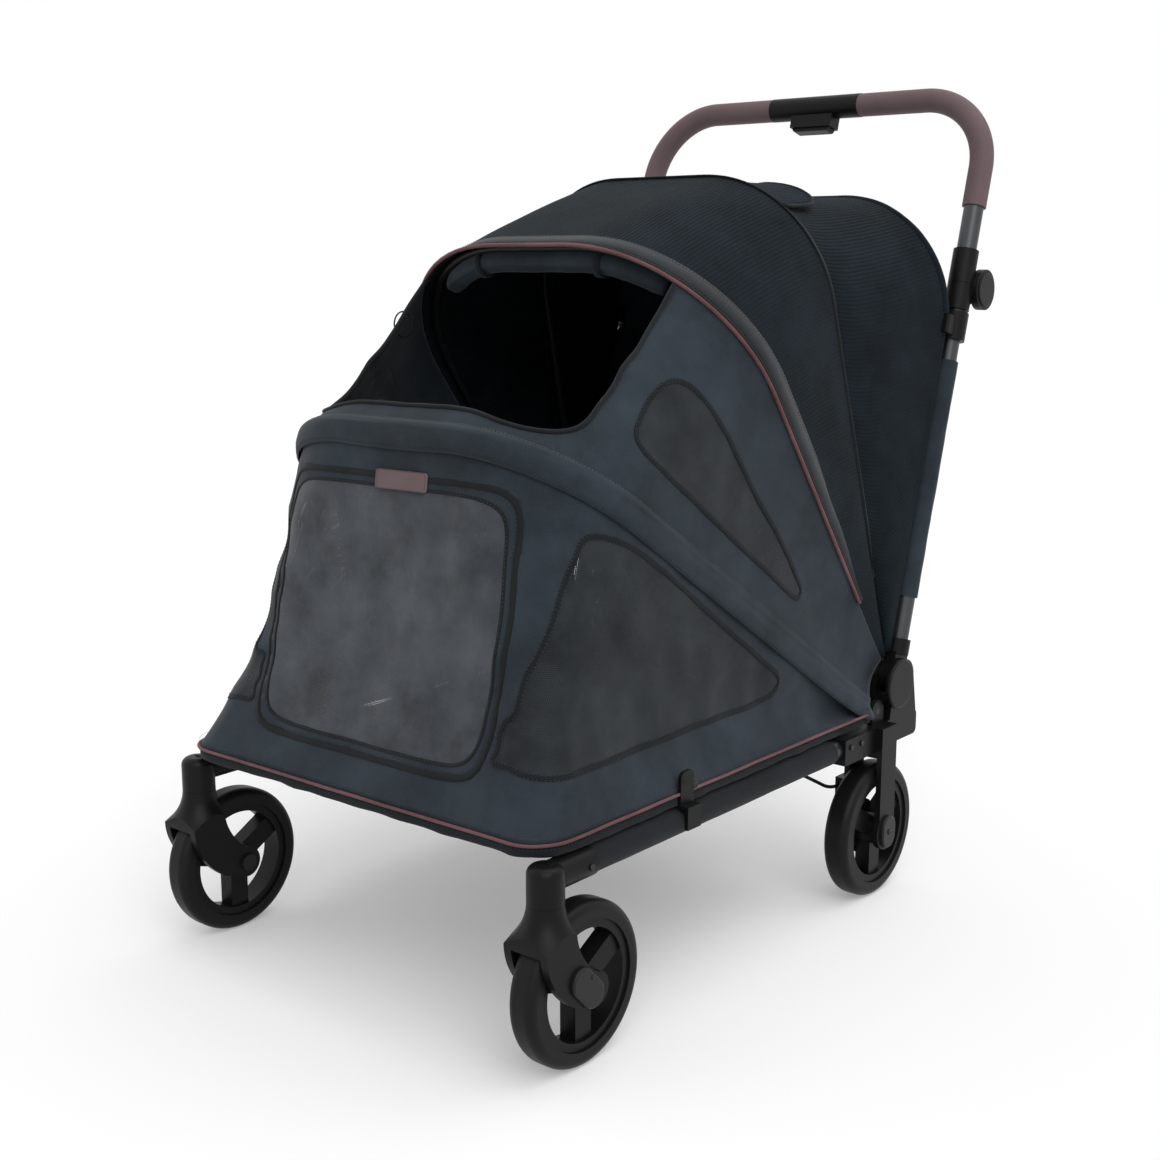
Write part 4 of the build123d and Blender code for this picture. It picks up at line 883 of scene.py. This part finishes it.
def sharedBy(piece, panel):
    # Row share of the nearest point of a panel, for trims that lie on it
    own, base = pointsOf(piece), pointsOf(panel)
    values = attributeOf(panel, "share")
    nearest = [int(np.argmin(((base - p) ** 2).sum(1))) for p in own]
    return values[nearest]


def foldWithRoof(piece, shares=None):
    shares = sharedBy(piece, upperShell) if shares is None else shares
    low, high = upperLook["weights"]
    setBlend(piece,
             low + (high - low) * shares)


upperLoops = {n: chainLoops(upperCut[0], s) for n, s in upperCut[2].items()}
windowTrim("gussetWindow", upperLoops["window"], foldWithRoof, bindingLook)
lipLook = {"radius": 0.0032, "sides": 10}
for lip, (points, normals, closed) in enumerate(upperLoops["mouth"]):
    points, normals = evenPoints(points, normals, trimStep["middling"], closed)
    profile = roundProfile(lipLook["radius"], lipLook["sides"])
    bead = sweepTrim(f"mouthLip{lip}", points, normals, profile, closed, "darkCloth")
    foldWithRoof(bead)
foldWithRoof(upperShell, attributeOf(upperShell, "share"))
print("upper shell made")


# Hoop sleeve: the raised tunnel of cloth round the front hoop

sleeveLook = {"start": 0.018, "below": 0.026, "above": 0.015, "rise": (0.0042, 0.0085), "seat": 0.0008,
              "sides": 0.36, "toFront": 0.22, "steps": 16, "folds": 0.0012, "wander": 18.0, "ripple": 14.0,
              "ripplePast": 2.2, "thickness": 0.0012}


def makeHoopSleeve():
    look = sleeveLook
    line = bowLine("hoop", look["start"])
    hem, top = bowLine("hem", lowerLook["start"][0]), bowLine("canopy", upperLook["start"][1])
    down, up = unitRows(hem - line), unitRows(top - line)
    normal = unitRows(gridNormals(shellGrid)[-1] + gridNormals(roofGrid)[0])
    front = np.clip((hoopPivot[1] - line[:, 1] - look["sides"]) / look["toFront"], 0, 1)[:, None]
    front = front * front * (3 - 2 * front)
    rise = look["rise"][0] + (look["rise"][1] - look["rise"][0]) * front
    wander = np.array([noise.noise(Vector(p * look["wander"])) for p in line])[:, None]
    rows = []
    for k in range(look["steps"] + 1):
        t = 2 * k / look["steps"] - 1
        slide = down * look["below"] * max(0, -t) + up * look["above"] * max(0, t)
        bulge = 1 - abs(t) ** (3.0 if t < 0 else 2.0)
        spots = [Vector((*p[:2], p[2] + t * look["ripplePast"])) for p in line * look["ripple"]]
        ripple = np.array([noise.noise(spot) for spot in spots])[:, None]
        lift = rise * bulge + look["seat"] + (wander + ripple) * look["folds"] * bulge
        rows.append(line + slide + normal * lift)
    sleeve = sewPanel("hoopSleeve", cutPanel(np.array(rows), {}), ["charcoalCloth"], look["thickness"],
                      None)
    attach(sleeve, "front_hoop")
    for name, row in (("hoopSeamLow", rows[1]), ("hoopSeamHigh", rows[-2])):
        sewOn(stitchRow(name, row + normal * stitchLift, normal, False, stitchLook), "front_hoop")


makeHoopSleeve()
print("hoop sleeve made")


# Canopy: front part to the middle bow, rear part to the posts

canopyLook = {"start": 0.034, "rows": 44, "bulge": 0.004, "folds": 0.0012, "thickness": 0.0014}
rearLook = {"start": 0.034, "rows": 48, "sag": 0.012, "sideBulge": 0.006, "skew": 0.7, "folds": 0.002,
            "sideTop": 0.80, "toRoof": 0.16, "thickness": 0.0014}


def canopyGrid():
    look = canopyLook
    grid = ruled(bowLine("canopy", look["start"]), bowLine("middle", look["start"]), look["rows"])
    share = np.linspace(0, 1, look["rows"] + 1)[:, None]
    folds = clothNoise(grid, (12, 12, 12), 40.2)
    lift = np.sin(np.pi * share) * (look["bulge"] + folds * look["folds"])
    return grid + gridNormals(grid) * lift[..., None]


def rearGrid():
    look = rearLook
    grid = ruled(bowLine("middle", look["start"]), rearLine(look["start"]), look["rows"])
    share = np.linspace(0, 1, look["rows"] + 1)[:, None]
    high = np.clip((grid[..., 2] - look["sideTop"]) / look["toRoof"], 0, 1)
    folds = clothNoise(grid, (9, 9, 9), 60.5)
    sag = look["sag"] * high - look["sideBulge"] * (1 - high) - folds * look["folds"]
    drop = np.sin(np.pi * share ** look["skew"]) * sag
    return grid - gridNormals(grid) * drop[..., None]


frontRoofGrid, backRoofGrid = canopyGrid(), rearGrid()
canopyMain = sewPanel("canopyMain", cutPanel(frontRoofGrid, {}), ["canopyCloth"], canopyLook["thickness"],
                      "canopy_main")
setBlend(canopyMain,
         1 - attributeOf(canopyMain, "share"))
canopyRear = sewPanel("canopyRear", cutPanel(backRoofGrid, {}), ["canopyCloth"], rearLook["thickness"],
                      "canopy_rear")


def foldWithRear(piece, shares):
    setBlend(piece, 1 - shares)


foldWithRear(canopyRear, attributeOf(canopyRear, "share"))
print("canopy made")

tunnelLook = {"half": 0.290, "back": -0.024, "clip": 0.494, "tilt": 26.0, "rise": 0.180, "corner": 0.148,
              "start": 0.516, "radius": 0.0071, "sides": 14, "step": 0.008, "lumps": (28, 0.06)}


def makeRearTunnel():
    # Cloth tunnel that the rear bow runs through
    line = rearLine(tunnelLook["start"], tunnelLook)
    tilt = lean - deg(tunnelLook["tilt"])
    outs = np.tile((0.0, math.cos(tilt), -math.sin(tilt)), (len(line), 1))
    points, outs = evenPoints(line, outs, tunnelLook["step"], False, 1)
    ring = roundProfile(tunnelLook["radius"], tunnelLook["sides"])
    scale, size = tunnelLook["lumps"]
    swell = [1 + size * noise.noise(Vector(p * scale)) for p in points]
    tunnel = sweepTrim("rearTunnel", points, outs, ring + ring[:1], False, "canopyCloth",
                       openProfile=True, swell=swell)
    sewOn(tunnel, "posts")


makeRearTunnel()

flapLook = {"half": 0.19, "length": 0.105, "radius": 0.045, "lift": (0.0025, 0.014), "liftSkew": 0.8,
            "folds": 0.002, "roof": 0.8, "turnIn": (0.04, 0.01), "hem": 0.0022, "thickness": 0.0018}


def makeVentFlap():
    # Loose tongue of cloth that hangs back from the middle bow over a vent
    look = flapLook
    across = gridLengths(backRoofGrid)[1]
    seat, tip = look["lift"]
    lift = seat + (tip - seat) * np.clip(across / look["length"], 0, 1) ** look["liftSkew"]
    lift = lift + clothNoise(backRoofGrid, (16, 16, 16), 77.0) * look["folds"]
    grid = backRoofGrid + gridNormals(backRoofGrid) * lift[..., None]
    low, high = (-look["half"], -0.2), (look["half"], look["length"])   # low is past the seam, so uncut there
    field = roundedBox(backRoofGrid[..., 0], across, low, high, look["radius"])
    field = field + np.where(backRoofGrid[..., 2] > look["roof"], 0.0, 1.0)
    cut = cutPanel(grid, {"edge": field}, keep="edge")
    flap = sewPanel("ventFlap", cut, ["canopyCloth"], look["thickness"], None)
    shares = [(flap, attributeOf(flap, "share"))]
    for k, (points, normals, closed) in enumerate(chainLoops(cut[0], cut[2]["edge"])):
        points, normals = evenPoints(points, normals, trimStep["fine"], closed)
        profile = roundProfile(look["hem"], 8)
        hemTrim = sweepTrim(f"ventFlapHem{k}", points, normals, profile, closed, "darkCloth")
        shares.append((hemTrim, sharedBy(hemTrim, flap)))
    for piece, share in shares:
        foldWithRear(piece, share)


makeVentFlap()

edgeLook = {
    "start": 0.15, "out": 0.0012,
    "pipe": {"radius": 0.0026, "fore": 0.001, "lift": 0.0012},
    "zip": {"radius": 0.0022, "back": 0.0045, "lift": 0.0006, "flat": 0.8},
    "band": {"width": 0.030, "height": 0.0012, "gap": 0.006, "stitchIn": 0.0035, "stitchLift": 0.0014},
    "seam": {"width": 0.007, "height": 0.0016, "out": 0.0006},
}


def makeCanopyEdge():
    # Rose piping on the front edge, with the zip tape below it and the plain woven band behind it
    look = edgeLook
    pipe, zipper, band, seam = look["pipe"], look["zip"], look["band"], look["seam"]
    line, middle, hoop = [bowLine(bow, look["start"], look["out"]) for bow in ("canopy", "middle", "hoop")]
    back, fore = unitRows(middle - line), unitRows(hoop - line)
    normal = gridNormals(ruled(line, middle, 2))[0]
    for name, shift, profile, finish in (
            ("canopyPiping", fore * pipe["fore"],
             roundProfile(pipe["radius"], 10, 1.0, pipe["lift"]), "roseTrim"),
            ("canopyZip", back * zipper["back"],
             roundProfile(zipper["radius"], 8, zipper["flat"], zipper["lift"]), "zipTape"),
            ("canopyBand", back * (band["gap"] + band["width"] / 2),
             tapeProfile(band["width"], band["height"]), "bandCloth")):
        points, normals = evenPoints(line + shift, normal, trimStep["coarse"], False, 1)
        sewOn(sweepTrim(name, points, normals, profile, False, finish), "canopy_bow")
    for name, place in (("canopyBandStitchFront", band["stitchIn"]),
                        ("canopyBandStitchBack", band["width"] - band["stitchIn"])):
        row = line + back * (band["gap"] + place) + normal * band["stitchLift"]
        sewOn(stitchRow(name, row, normal, False, stitchLook), "canopy_bow")
    points, normals = evenPoints(bowLine("middle", look["start"], seam["out"]),
                                 gridNormals(backRoofGrid)[0], trimStep["coarse"], False, 1)
    profile = tapeProfile(seam["width"], seam["height"])
    sewOn(sweepTrim("middleSeam", points, normals, profile, False, "darkCloth"), "middle_bow")


makeCanopyEdge()
print("canopy edge made")


# Rolled flap that hangs under the front edge of the canopy

rollLook = {"angle": 54.3, "reach": 0.7058, "corner": 0.1838, "bar": 0.064, "arc": 38.0, "radius": 0.0145,
            "sides": 30, "spiral": 0.16, "lumps": ((30, 0.05), (75, 0.03)), "endSize": 0.80,
            "endGrowth": 0.07, "strap": (0.011, 0.0014), "strapSteps": 28, "strapSize": 1.09,
            "strapOut": 0.0006}


def rollLine():
    look = rollLook
    flat = []
    for k in range(25):
        a = deg(look["arc"] * (1 - k / 24))
        drop = look["corner"] * (1 - math.cos(a))
        flat.append((look["bar"] + look["corner"] * math.sin(a), look["reach"] - drop))
    flat += [(look["bar"] * (1 - k / 8), look["reach"]) for k in range(1, 9)]
    return swungUp(halfToWhole(np.array(flat)), hinge, look["angle"])


def makeRoll():
    look = rollLook
    line = rollLine()
    inward = np.array((0.0, hinge[1], hinge[2])) - line
    inward[:, 0] = -line[:, 0]
    points, normals = evenPoints(line, inward, trimStep["middling"], False)
    profile = []
    for k in range(look["sides"]):                       # one turn of a spiral with its free edge showing
        a = 2 * math.pi * k / look["sides"]
        size = look["radius"] * (1.0 + look["spiral"] * (k / look["sides"] - 0.5))
        profile.append((size * math.cos(a), size * math.sin(a)))
    swell = np.ones(len(points))
    for scale, size in look["lumps"]:
        swell = swell + [size * noise.noise(Vector(p * scale)) for p in points]
    count = len(points)
    fromEnd = np.minimum(np.arange(count), np.arange(count)[::-1])
    ends = np.minimum(1.0, look["endSize"] + fromEnd * look["endGrowth"])
    roll = sweepTrim("canopyRoll", points, normals, profile, False, "charcoalCloth", swell=swell * ends)
    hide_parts("canopy_roll")
    sewOn(roll, "canopy_bow")
    turns = [2 * math.pi * step / look["strapSteps"] for step in range(look["strapSteps"])]
    for side, share in (("Left", 0.24), ("Right", 0.76)):
        k = int(count * share)
        across = np.cross(tangentsOf(points, False)[k], normals[k])
        outs = np.array([across * math.cos(a) + normals[k] * math.sin(a) for a in turns])
        around = points[k] + outs * (look["radius"] * swell[k] * look["strapSize"] + look["strapOut"])
        strap = sweepTrim(f"rollStrap{side}", around, outs, tapeProfile(*look["strap"]), True, "darkCloth")
        sewOn(strap, "canopy_bow")


makeRoll()
print("canopy roll made")


# Back of the cabin: upright panel between the posts, then bent forward inside the rear bow

backLook = {
    "back": -0.0191, "foot": -0.058, "step": 0.118, "stepRun": 0.02, "footHalf": 0.238, "half": 0.2915,
    "bend": 0.4817, "tilt": 26.0, "rise": 0.165, "corner": 0.143, "bow": 0.290, "past": 0.0226, "gap": 0.004,
    "edge": {"from": 0.272, "run": 0.018, "turn": 0.0052}, "rows": 60, "columns": 64, "folds": 0.0018,
    "window": ((-0.175, 0.115), (0.175, 0.395)), "radius": 0.05, "thickness": 0.0014,
    "zip": (0.014, 0.0012), "stitchLift": 0.0014, "foldRun": 0.138,
}


def makeBackPanel():
    look = backLook
    edge = look["edge"]                                  # its sides turn forward to meet the canopy
    tilt = deg(look["tilt"])
    total = look["bend"] - look["foot"] + look["rise"] + look["past"]
    rows, places = [], []
    for j in range(look["rows"] + 1):
        s = look["foot"] + total * j / look["rows"]
        over = max(0.0, s - look["bend"])
        rise = max(0.0, over - look["past"] - (look["rise"] - look["corner"]))
        across = math.sqrt(max(0.0, look["corner"] ** 2 - rise ** 2))
        arch = look["bow"] - look["corner"] + across - look["gap"]
        ease = min(1.0, max(0.0, (s - look["step"]) / look["stepRun"]))
        half = look["footHalf"] + (look["half"] - look["footHalf"]) * ease
        half = min(half, arch) if over > 0 else half
        deepest = edge["turn"] if over == 0 else 0.0
        up = min(s, look["bend"]) + over * math.cos(tilt)
        row = []
        for i in range(look["columns"] + 1):
            x = half * (1 - 2 * i / look["columns"])
            turn = min(1.0, max(0.0, (abs(x) - edge["from"]) / edge["run"])) * deepest
            row.append(postPoint(x, look["back"] - turn - over * math.sin(tilt), up))
        rows.append(row)
        places.append([s] * (look["columns"] + 1))
    grid, place = np.array(rows), np.array(places)
    normals = -gridNormals(grid)
    if normals[10, 10, 1] < 0:
        normals = -normals
    upright, sideways = [np.sin(np.pi * np.linspace(0, 1, look[n] + 1)) for n in ("rows", "columns")]
    loose = upright[:, None] * sideways
    grid = grid + normals * (clothNoise(grid, (11, 11, 9), 90.1) * look["folds"] * loose)[..., None]
    field = roundedBox(grid[..., 0], place, *look["window"], look["radius"])
    cut = cutPanel(grid, {"window": field}, windows=["window"])
    pieces = [sewPanel("backPanel", cut, ["charcoalCloth", "openMesh"], look["thickness"],
                       "rear_panel")]
    for k, (points, _, closed) in enumerate(chainLoops(cut[0], cut[2]["window"])):
        outs = np.tile(postBack, (len(points), 1))
        points, outs = evenPoints(points, outs, trimStep["fine"], closed)
        tape = sweepTrim(f"backZip{k}", points, outs, tapeProfile(*look["zip"]), closed, "zipTape")
        row = stitchRow(f"backZipStitch{k}", points + outs * look["stitchLift"], outs, closed, stitchLook)
        for piece in (tape, row):
            pieces.append(piece)
    for piece in pieces:
        s = (pointsOf(piece) - hinge) @ postUp
        setBlend(piece,
                 np.clip((s - look["foot"]) / look["foldRun"], 0, 1))


makeBackPanel()
print("back panel made")


# Hem: the wavy band below the shell, its rose piping and the sleeves round the side rails

hemLook = {"start": 0.020, "drop": 0.0140, "rows": 5, "wave": 0.0028, "lowWave": 0.0022, "pipe": 0.0019,
           "thickness": 0.0013, "out": 0.0002, "pipeOut": 0.0022, "pipeWave": (16, 0.0008),
           "pipeDrop": 0.0005, "stitchOut": 0.0008, "stitchUp": 0.007}
railLook = {"x": 0.2965, "z": 0.230, "y": (-0.408, 0.096), "radius": 0.0160, "folds": 0.0005,
            "steps": 90, "sides": 24, "cut": 0.0042, "flat": (0.504, 0.104)}


def makeHem():
    look = hemLook
    top = bowLine("hem", look["start"], look["out"])
    low = top - np.array((0, 0, look["drop"]))
    grid = ruled(top, low, look["rows"])
    share = np.linspace(0, 1, look["rows"] + 1)[:, None]
    wave = clothNoise(grid, (34, 34, 0), 14.2) * look["wave"] * share
    outward = -gridNormals(grid)
    if outward[0, 5, 0] < 0:
        outward = -outward
    grid = grid + outward * wave[..., None]
    grid[..., 2] += clothNoise(grid, (20, 20, 0), 31.0) * look["lowWave"] * share
    band = sewPanel("hemBand", cutPanel(grid[::-1], {}), ["darkCloth"], look["thickness"],
                    "hem_skirt")
    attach(band, "base")
    pipeLine = bowLine("hem", look["start"], look["pipeOut"])
    scale, size = look["pipeWave"]
    pipeLine[:, 2] += [size * noise.noise(Vector(p * scale)) - look["pipeDrop"] for p in pipeLine]
    points, outs = evenPoints(pipeLine, outward[0], trimStep["coarse"], False)
    piping = sweepTrim("hemPiping", points, outs, roundProfile(look["pipe"], 10), False, "roseTrim")
    row = stitchRow("hemStitch", grid[2] + outward[2] * stitchLift, outward[2], False, stitchLook)
    upperLine = bowLine("hem", look["start"], look["stitchOut"]) + np.array((0, 0, look["stitchUp"]))
    upperRow = stitchRow("shellHemStitch", upperLine, outward[0], False, stitchLook)
    for piece in (piping, row, upperRow):
        sewOn(piece, "base")


def tubeFaces(steps, sides, inward):
    # Faces of an open tube whose seam is left unjoined
    faces = []
    for k in range(steps):
        for m in range(sides):
            a = k * (sides + 1) + m
            b = a + sides + 1
            faces.append((a, a + 1, b + 1, b) if inward else (a, b, b + 1, a + 1))
    return faces


def makeRailSleeve(name, side):
    look = railLook
    begin, end = look["y"]
    vertices, uv = [], []
    for k in range(look["steps"] + 1):
        y = begin + (end - begin) * k / look["steps"]
        for m in range(look["sides"] + 1):
            a = 2 * math.pi * m / look["sides"] + math.pi
            spot = Vector((math.cos(a) * 3, y * 26, math.sin(a) * 3 + side))
            size = look["radius"] + noise.noise(spot) * look["folds"]
            vertices.append((side * look["x"] + size * math.cos(a), y, look["z"] + size * math.sin(a)))
            uv.append((y, m * look["cut"]))
    faces = tubeFaces(look["steps"], look["sides"], False)
    sleeve = meshObject(name, vertices, faces, ["darkCloth"], uv=uv)
    sewOn(sleeve, "base")


makeHem()
makeRailSleeve("railSleeveLeft", 1)
makeRailSleeve("railSleeveRight", -1)
print("hem and rail sleeves made")


# Post sleeves: the shell's rear edges wrap the posts

postSleeveLook = {"s": (0.114, 0.452), "radius": 0.0158, "x": 0.290, "folds": 0.0006,
                  "steps": 60, "sides": 22, "cut": 0.0045, "girth": 0.102}


def makePostSleeve(name, side):
    look = postSleeveLook
    begin, end = look["s"]
    vertices, uv = [], []
    for k in range(look["steps"] + 1):
        s = begin + (end - begin) * k / look["steps"]
        for m in range(look["sides"] + 1):
            a = 2 * math.pi * m / look["sides"]
            spot = Vector((math.cos(a) * 2, s * 30, side + math.sin(a) * 2))
            size = look["radius"] + look["folds"] * noise.noise(spot)
            vertices.append(postPoint(side * look["x"] + size * math.cos(a), size * math.sin(a), s))
            uv.append((s, m * look["cut"]))
    faces = tubeFaces(look["steps"], look["sides"], True)
    sleeve = meshObject(name, vertices, faces, ["charcoalCloth"], uv=uv)
    sewOn(sleeve, "posts")


makePostSleeve("postSleeveLeft", 1)
makePostSleeve("postSleeveRight", -1)
print("post sleeves made")


# Floor cushion: a stuffed pad, filled by a short cloth simulation

cushionLook = {"voxel": 0.007, "pressure": 3.5, "frames": 20, "shrink": -0.04, "spread": 1.085,
               "slack": 0.002, "crown": 0.006}


def makeCushion():
    look = cushionLook
    source = nodes["floor_cushion"]
    mesh = bpy.data.meshes.new_from_object(source)
    mesh.transform(source.matrix_world)
    mesh.materials.clear()
    mesh.materials.append(finishes["cushionCloth"])
    cushion = bpy.data.objects.new("floorCushion", mesh)
    scene.collection.objects.link(cushion)
    bpy.context.view_layer.objects.active = cushion
    remesh = cushion.modifiers.new("remesh", "REMESH")
    remesh.mode, remesh.voxel_size = "VOXEL", look["voxel"]
    bpy.ops.object.modifier_apply(modifier="remesh")
    low = pointsOf(cushion)[:, 2].min()
    held = cushion.vertex_groups.new(name="held")
    held.add([v.index for v in cushion.data.vertices if v.co.z < low + look["slack"]], 1.0, "REPLACE")
    cloth = cushion.modifiers.new("cloth", "CLOTH")
    cloth.settings.quality = 6
    cloth.settings.use_pressure = True
    cloth.settings.uniform_pressure_force = look["pressure"]
    cloth.settings.shrink_min = look["shrink"]
    cloth.settings.vertex_group_mass = "held"
    cloth.settings.effector_weights.gravity = 0.0
    cloth.point_cache.frame_start, cloth.point_cache.frame_end = 1, look["frames"]
    for step in range(1, look["frames"] + 1):
        scene.frame_set(step)
    bpy.ops.object.modifier_apply(modifier="cloth")
    scene.frame_set(1)
    box = np.array([source.matrix_world @ Vector(c) for c in source.bound_box])
    most = box.max(0) + np.array((look["slack"], look["slack"], look["crown"]))
    points = np.clip(pointsOf(cushion), box.min(0) - look["slack"], most)
    points[:, 0] *= look["spread"]                        # the pad's sides lie against the shell
    cushion.data.vertices.foreach_set("co", points.astype(np.float32).ravel())
    cushion.data.polygons.foreach_set("use_smooth", [True] * len(cushion.data.polygons))
    cushion.data.update()
    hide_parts("floor_cushion")
    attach(cushion, "base")


makeCushion()
print("cushion made")


# Brake cables: thin black lines from the stops on the cross tube to the brake boxes

cableLook = {"radius": 0.0025, "length": 0.4562, "points": [
    (0.062, 0.1805, 0.225), (0.062, 0.1055, 0.225), (0.122, 0.0405, 0.223), (0.185, 0.0155, 0.222),
    (0.254, 0.0505, 0.215), (0.260, 0.1225, 0.1775), (0.260, 0.1675, 0.1535), (0.260, 0.1925, 0.1535)]}


def makeCable(name, side):
    curve = bpy.data.curves.new(name, "CURVE")
    curve.dimensions = "3D"
    curve.bevel_depth = cableLook["radius"]
    curve.bevel_resolution = 4
    line = curve.splines.new("NURBS")
    line.points.add(len(cableLook["points"]) - 1)
    for spot, (x, y, z) in zip(line.points, cableLook["points"]):
        spot.co = (side * x, y, z, 1)
    line.order_u = 3
    line.use_endpoint_u = True
    curve.materials.append(finishes["cableJacket"])
    cable = bpy.data.objects.new(name, curve)
    scene.collection.objects.link(cable)
    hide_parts("brake_cables")
    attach(cable, "base")
    return cable


for cableName, cableSide in (("brakeCableLeft", 1), ("brakeCableRight", -1)):
    x, y, z = cableLook["points"][0]
    makeCable(cableName, cableSide)
print("brake cables made")


# Small screws on the plates and covers, and the cord loop of the mouth's zip

screwLook = {
    "sides": 20, "rings": [(1.0, 0.0), (1.0, 0.5), (0.86, 0.8), (0.5, 0.8), (0.42, 0.35), (0.0, 0.35)],
    "clip": ((0.3172, -0.2372, 0.276), 0.0042),
    "front": ((0.3322, -0.4412, 0.115), 0.0036),
    "rear": ((0.3306, 0.2108, 0.095), 0.0040),
}


def makeScrew(name, spot, radius, body):
    side, count, rings = math.copysign(1.0, spot[0]), screwLook["sides"], screwLook["rings"]
    vertices, faces = [], []
    for size, lift in rings:
        for k in range(count):
            a = 2 * math.pi * k / count
            vertices.append((spot[0] + side * lift * radius * 0.5, spot[1] + radius * size * math.cos(a),
                             spot[2] + radius * size * math.sin(a)))
    for j in range(len(rings) - 1):
        for k in range(count):
            a, b = j * count + k, j * count + (k + 1) % count
            faces.append((a, b, b + count, a + count) if side > 0 else (a, a + count, b + count, b))
    screw = meshObject(name, vertices, faces, ["darkScrew"])
    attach(screw, body)


for tag, mirror in (("left", 1.0), ("right", -1.0)):
    for place, body in (("clip", "base"), ("front", f"caster_{tag}"), ("rear", "base")):
        (x, y, z), radius = screwLook[place]
        makeScrew(f"{place}Screw_{tag}", (mirror * x, y, z), radius, body)

pullLook = {"x": -0.207, "y": -0.17, "wide": 0.013, "deep": 0.004, "tall": 0.017, "radius": 0.0011,
            "out": 0.004, "steps": 40}


def makeZipPull():
    # Loop of thin cord that hangs from the zip at the end of the mouth
    look = pullLook
    gap = np.abs(rx - look["x"]) + np.abs(ry - look["y"])
    j, i = np.unravel_index(np.argmin(gap), gap.shape)
    spot, out = roofGrid[j, i], gridNormals(roofGrid)[j, i]
    a = np.linspace(0, 2 * math.pi, look["steps"], endpoint=False)
    bend = np.column_stack((-look["wide"] * np.sin(a), -look["deep"] * np.sin(a),
                            look["tall"] * (np.cos(a) - 1)))
    outs = np.tile((0.0, -1.0, 0.0), (look["steps"], 1))
    pull = sweepTrim("mouthZipPull", spot + out * look["out"] + bend, outs, roundProfile(look["radius"], 8),
                     True, "zipTape")
    foldWithRoof(pull)


makeZipPull()
print("screws and zip loop made")


# Stage, light and camera

stageLook = {"floor": 0.80, "glow": 0.25, "size": 60.0, "air": 0.4}


def seenDirectly(tree):
    rays = tree.nodes.new("ShaderNodeLightPath").outputs
    mirrored = mathNode(tree, "MAXIMUM", rays["Is Glossy Ray"], rays["Is Transmission Ray"])
    return mathNode(tree, "MAXIMUM", rays["Is Camera Ray"], mirrored)


def makeStage():
    look = stageLook
    mesh = bpy.data.meshes.new("floor")
    half = look["size"] / 2
    corners = [(-half, -half, 0), (half, -half, 0), (half, half, 0), (-half, half, 0)]
    mesh.from_pydata(corners, [], [(0, 1, 2, 3)])
    finish, tree, shader = newFinish("paleFloor")
    shader.inputs["Base Color"].default_value = (look["floor"],) * 3 + (1,)
    shader.inputs["Roughness"].default_value = 0.9
    shader.inputs["Specular IOR Level"].default_value = 0.1
    glow = mathNode(tree, "MULTIPLY", seenDirectly(tree), look["glow"])
    shader.inputs["Emission Color"].default_value = (1, 1, 1, 1)
    tree.links.new(glow, shader.inputs["Emission Strength"])
    mesh.materials.append(finish)
    floor = bpy.data.objects.new("floor", mesh)
    scene.collection.objects.link(floor)
    world = bpy.data.worlds.new("studio")
    world.use_nodes = True
    scene.world = world
    tree = world.node_tree
    back = tree.nodes["Background"]
    level = mathNode(tree, "MULTIPLY_ADD", seenDirectly(tree), 1.0 - look["air"], look["air"])
    back.inputs["Color"].default_value = (1, 1, 1, 1)
    tree.links.new(level, back.inputs["Strength"])


lampLook = {
    "key": {"toward": (-0.62, 0.50, -0.75), "spread": 45.0, "strength": 1.15},
    "top": {"toward": (-0.2, -0.3, -1.0), "spread": 60.0, "strength": 1.05},
    "left": {"toward": (0.85, 0.35, -0.5), "spread": 60.0, "strength": 0.22},
}


def makeLamp(name, look):
    light = bpy.data.lights.new(name, "SUN")
    light.energy = look["strength"]
    light.angle = deg(look["spread"])
    lamp = bpy.data.objects.new(name, light)
    scene.collection.objects.link(lamp)
    lamp.rotation_euler = Vector(look["toward"]).to_track_quat("-Z", "Y").to_euler()
    lamp.location = Vector(look["toward"]) * -3.0


cameraLook = {"place": (1.350649, -1.693631, 0.872144), "azimuth": 39.6449, "pitch": 11.2361, "lens": 49.82}


def makeCamera():
    look = cameraLook
    eye = bpy.data.cameras.new("photoView")
    eye.sensor_width = 36.0
    eye.lens = look["lens"]
    eye.dof.use_dof = False
    camera = bpy.data.objects.new("photoView", eye)
    scene.collection.objects.link(camera)
    camera.location = look["place"]
    camera.rotation_euler = (deg(90 - look["pitch"]), 0, deg(look["azimuth"]))
    scene.camera = camera


makeStage()
for lampName, look in lampLook.items():
    makeLamp(lampName, look)
makeCamera()
scene.view_settings.view_transform = "Standard"
print("stage made")
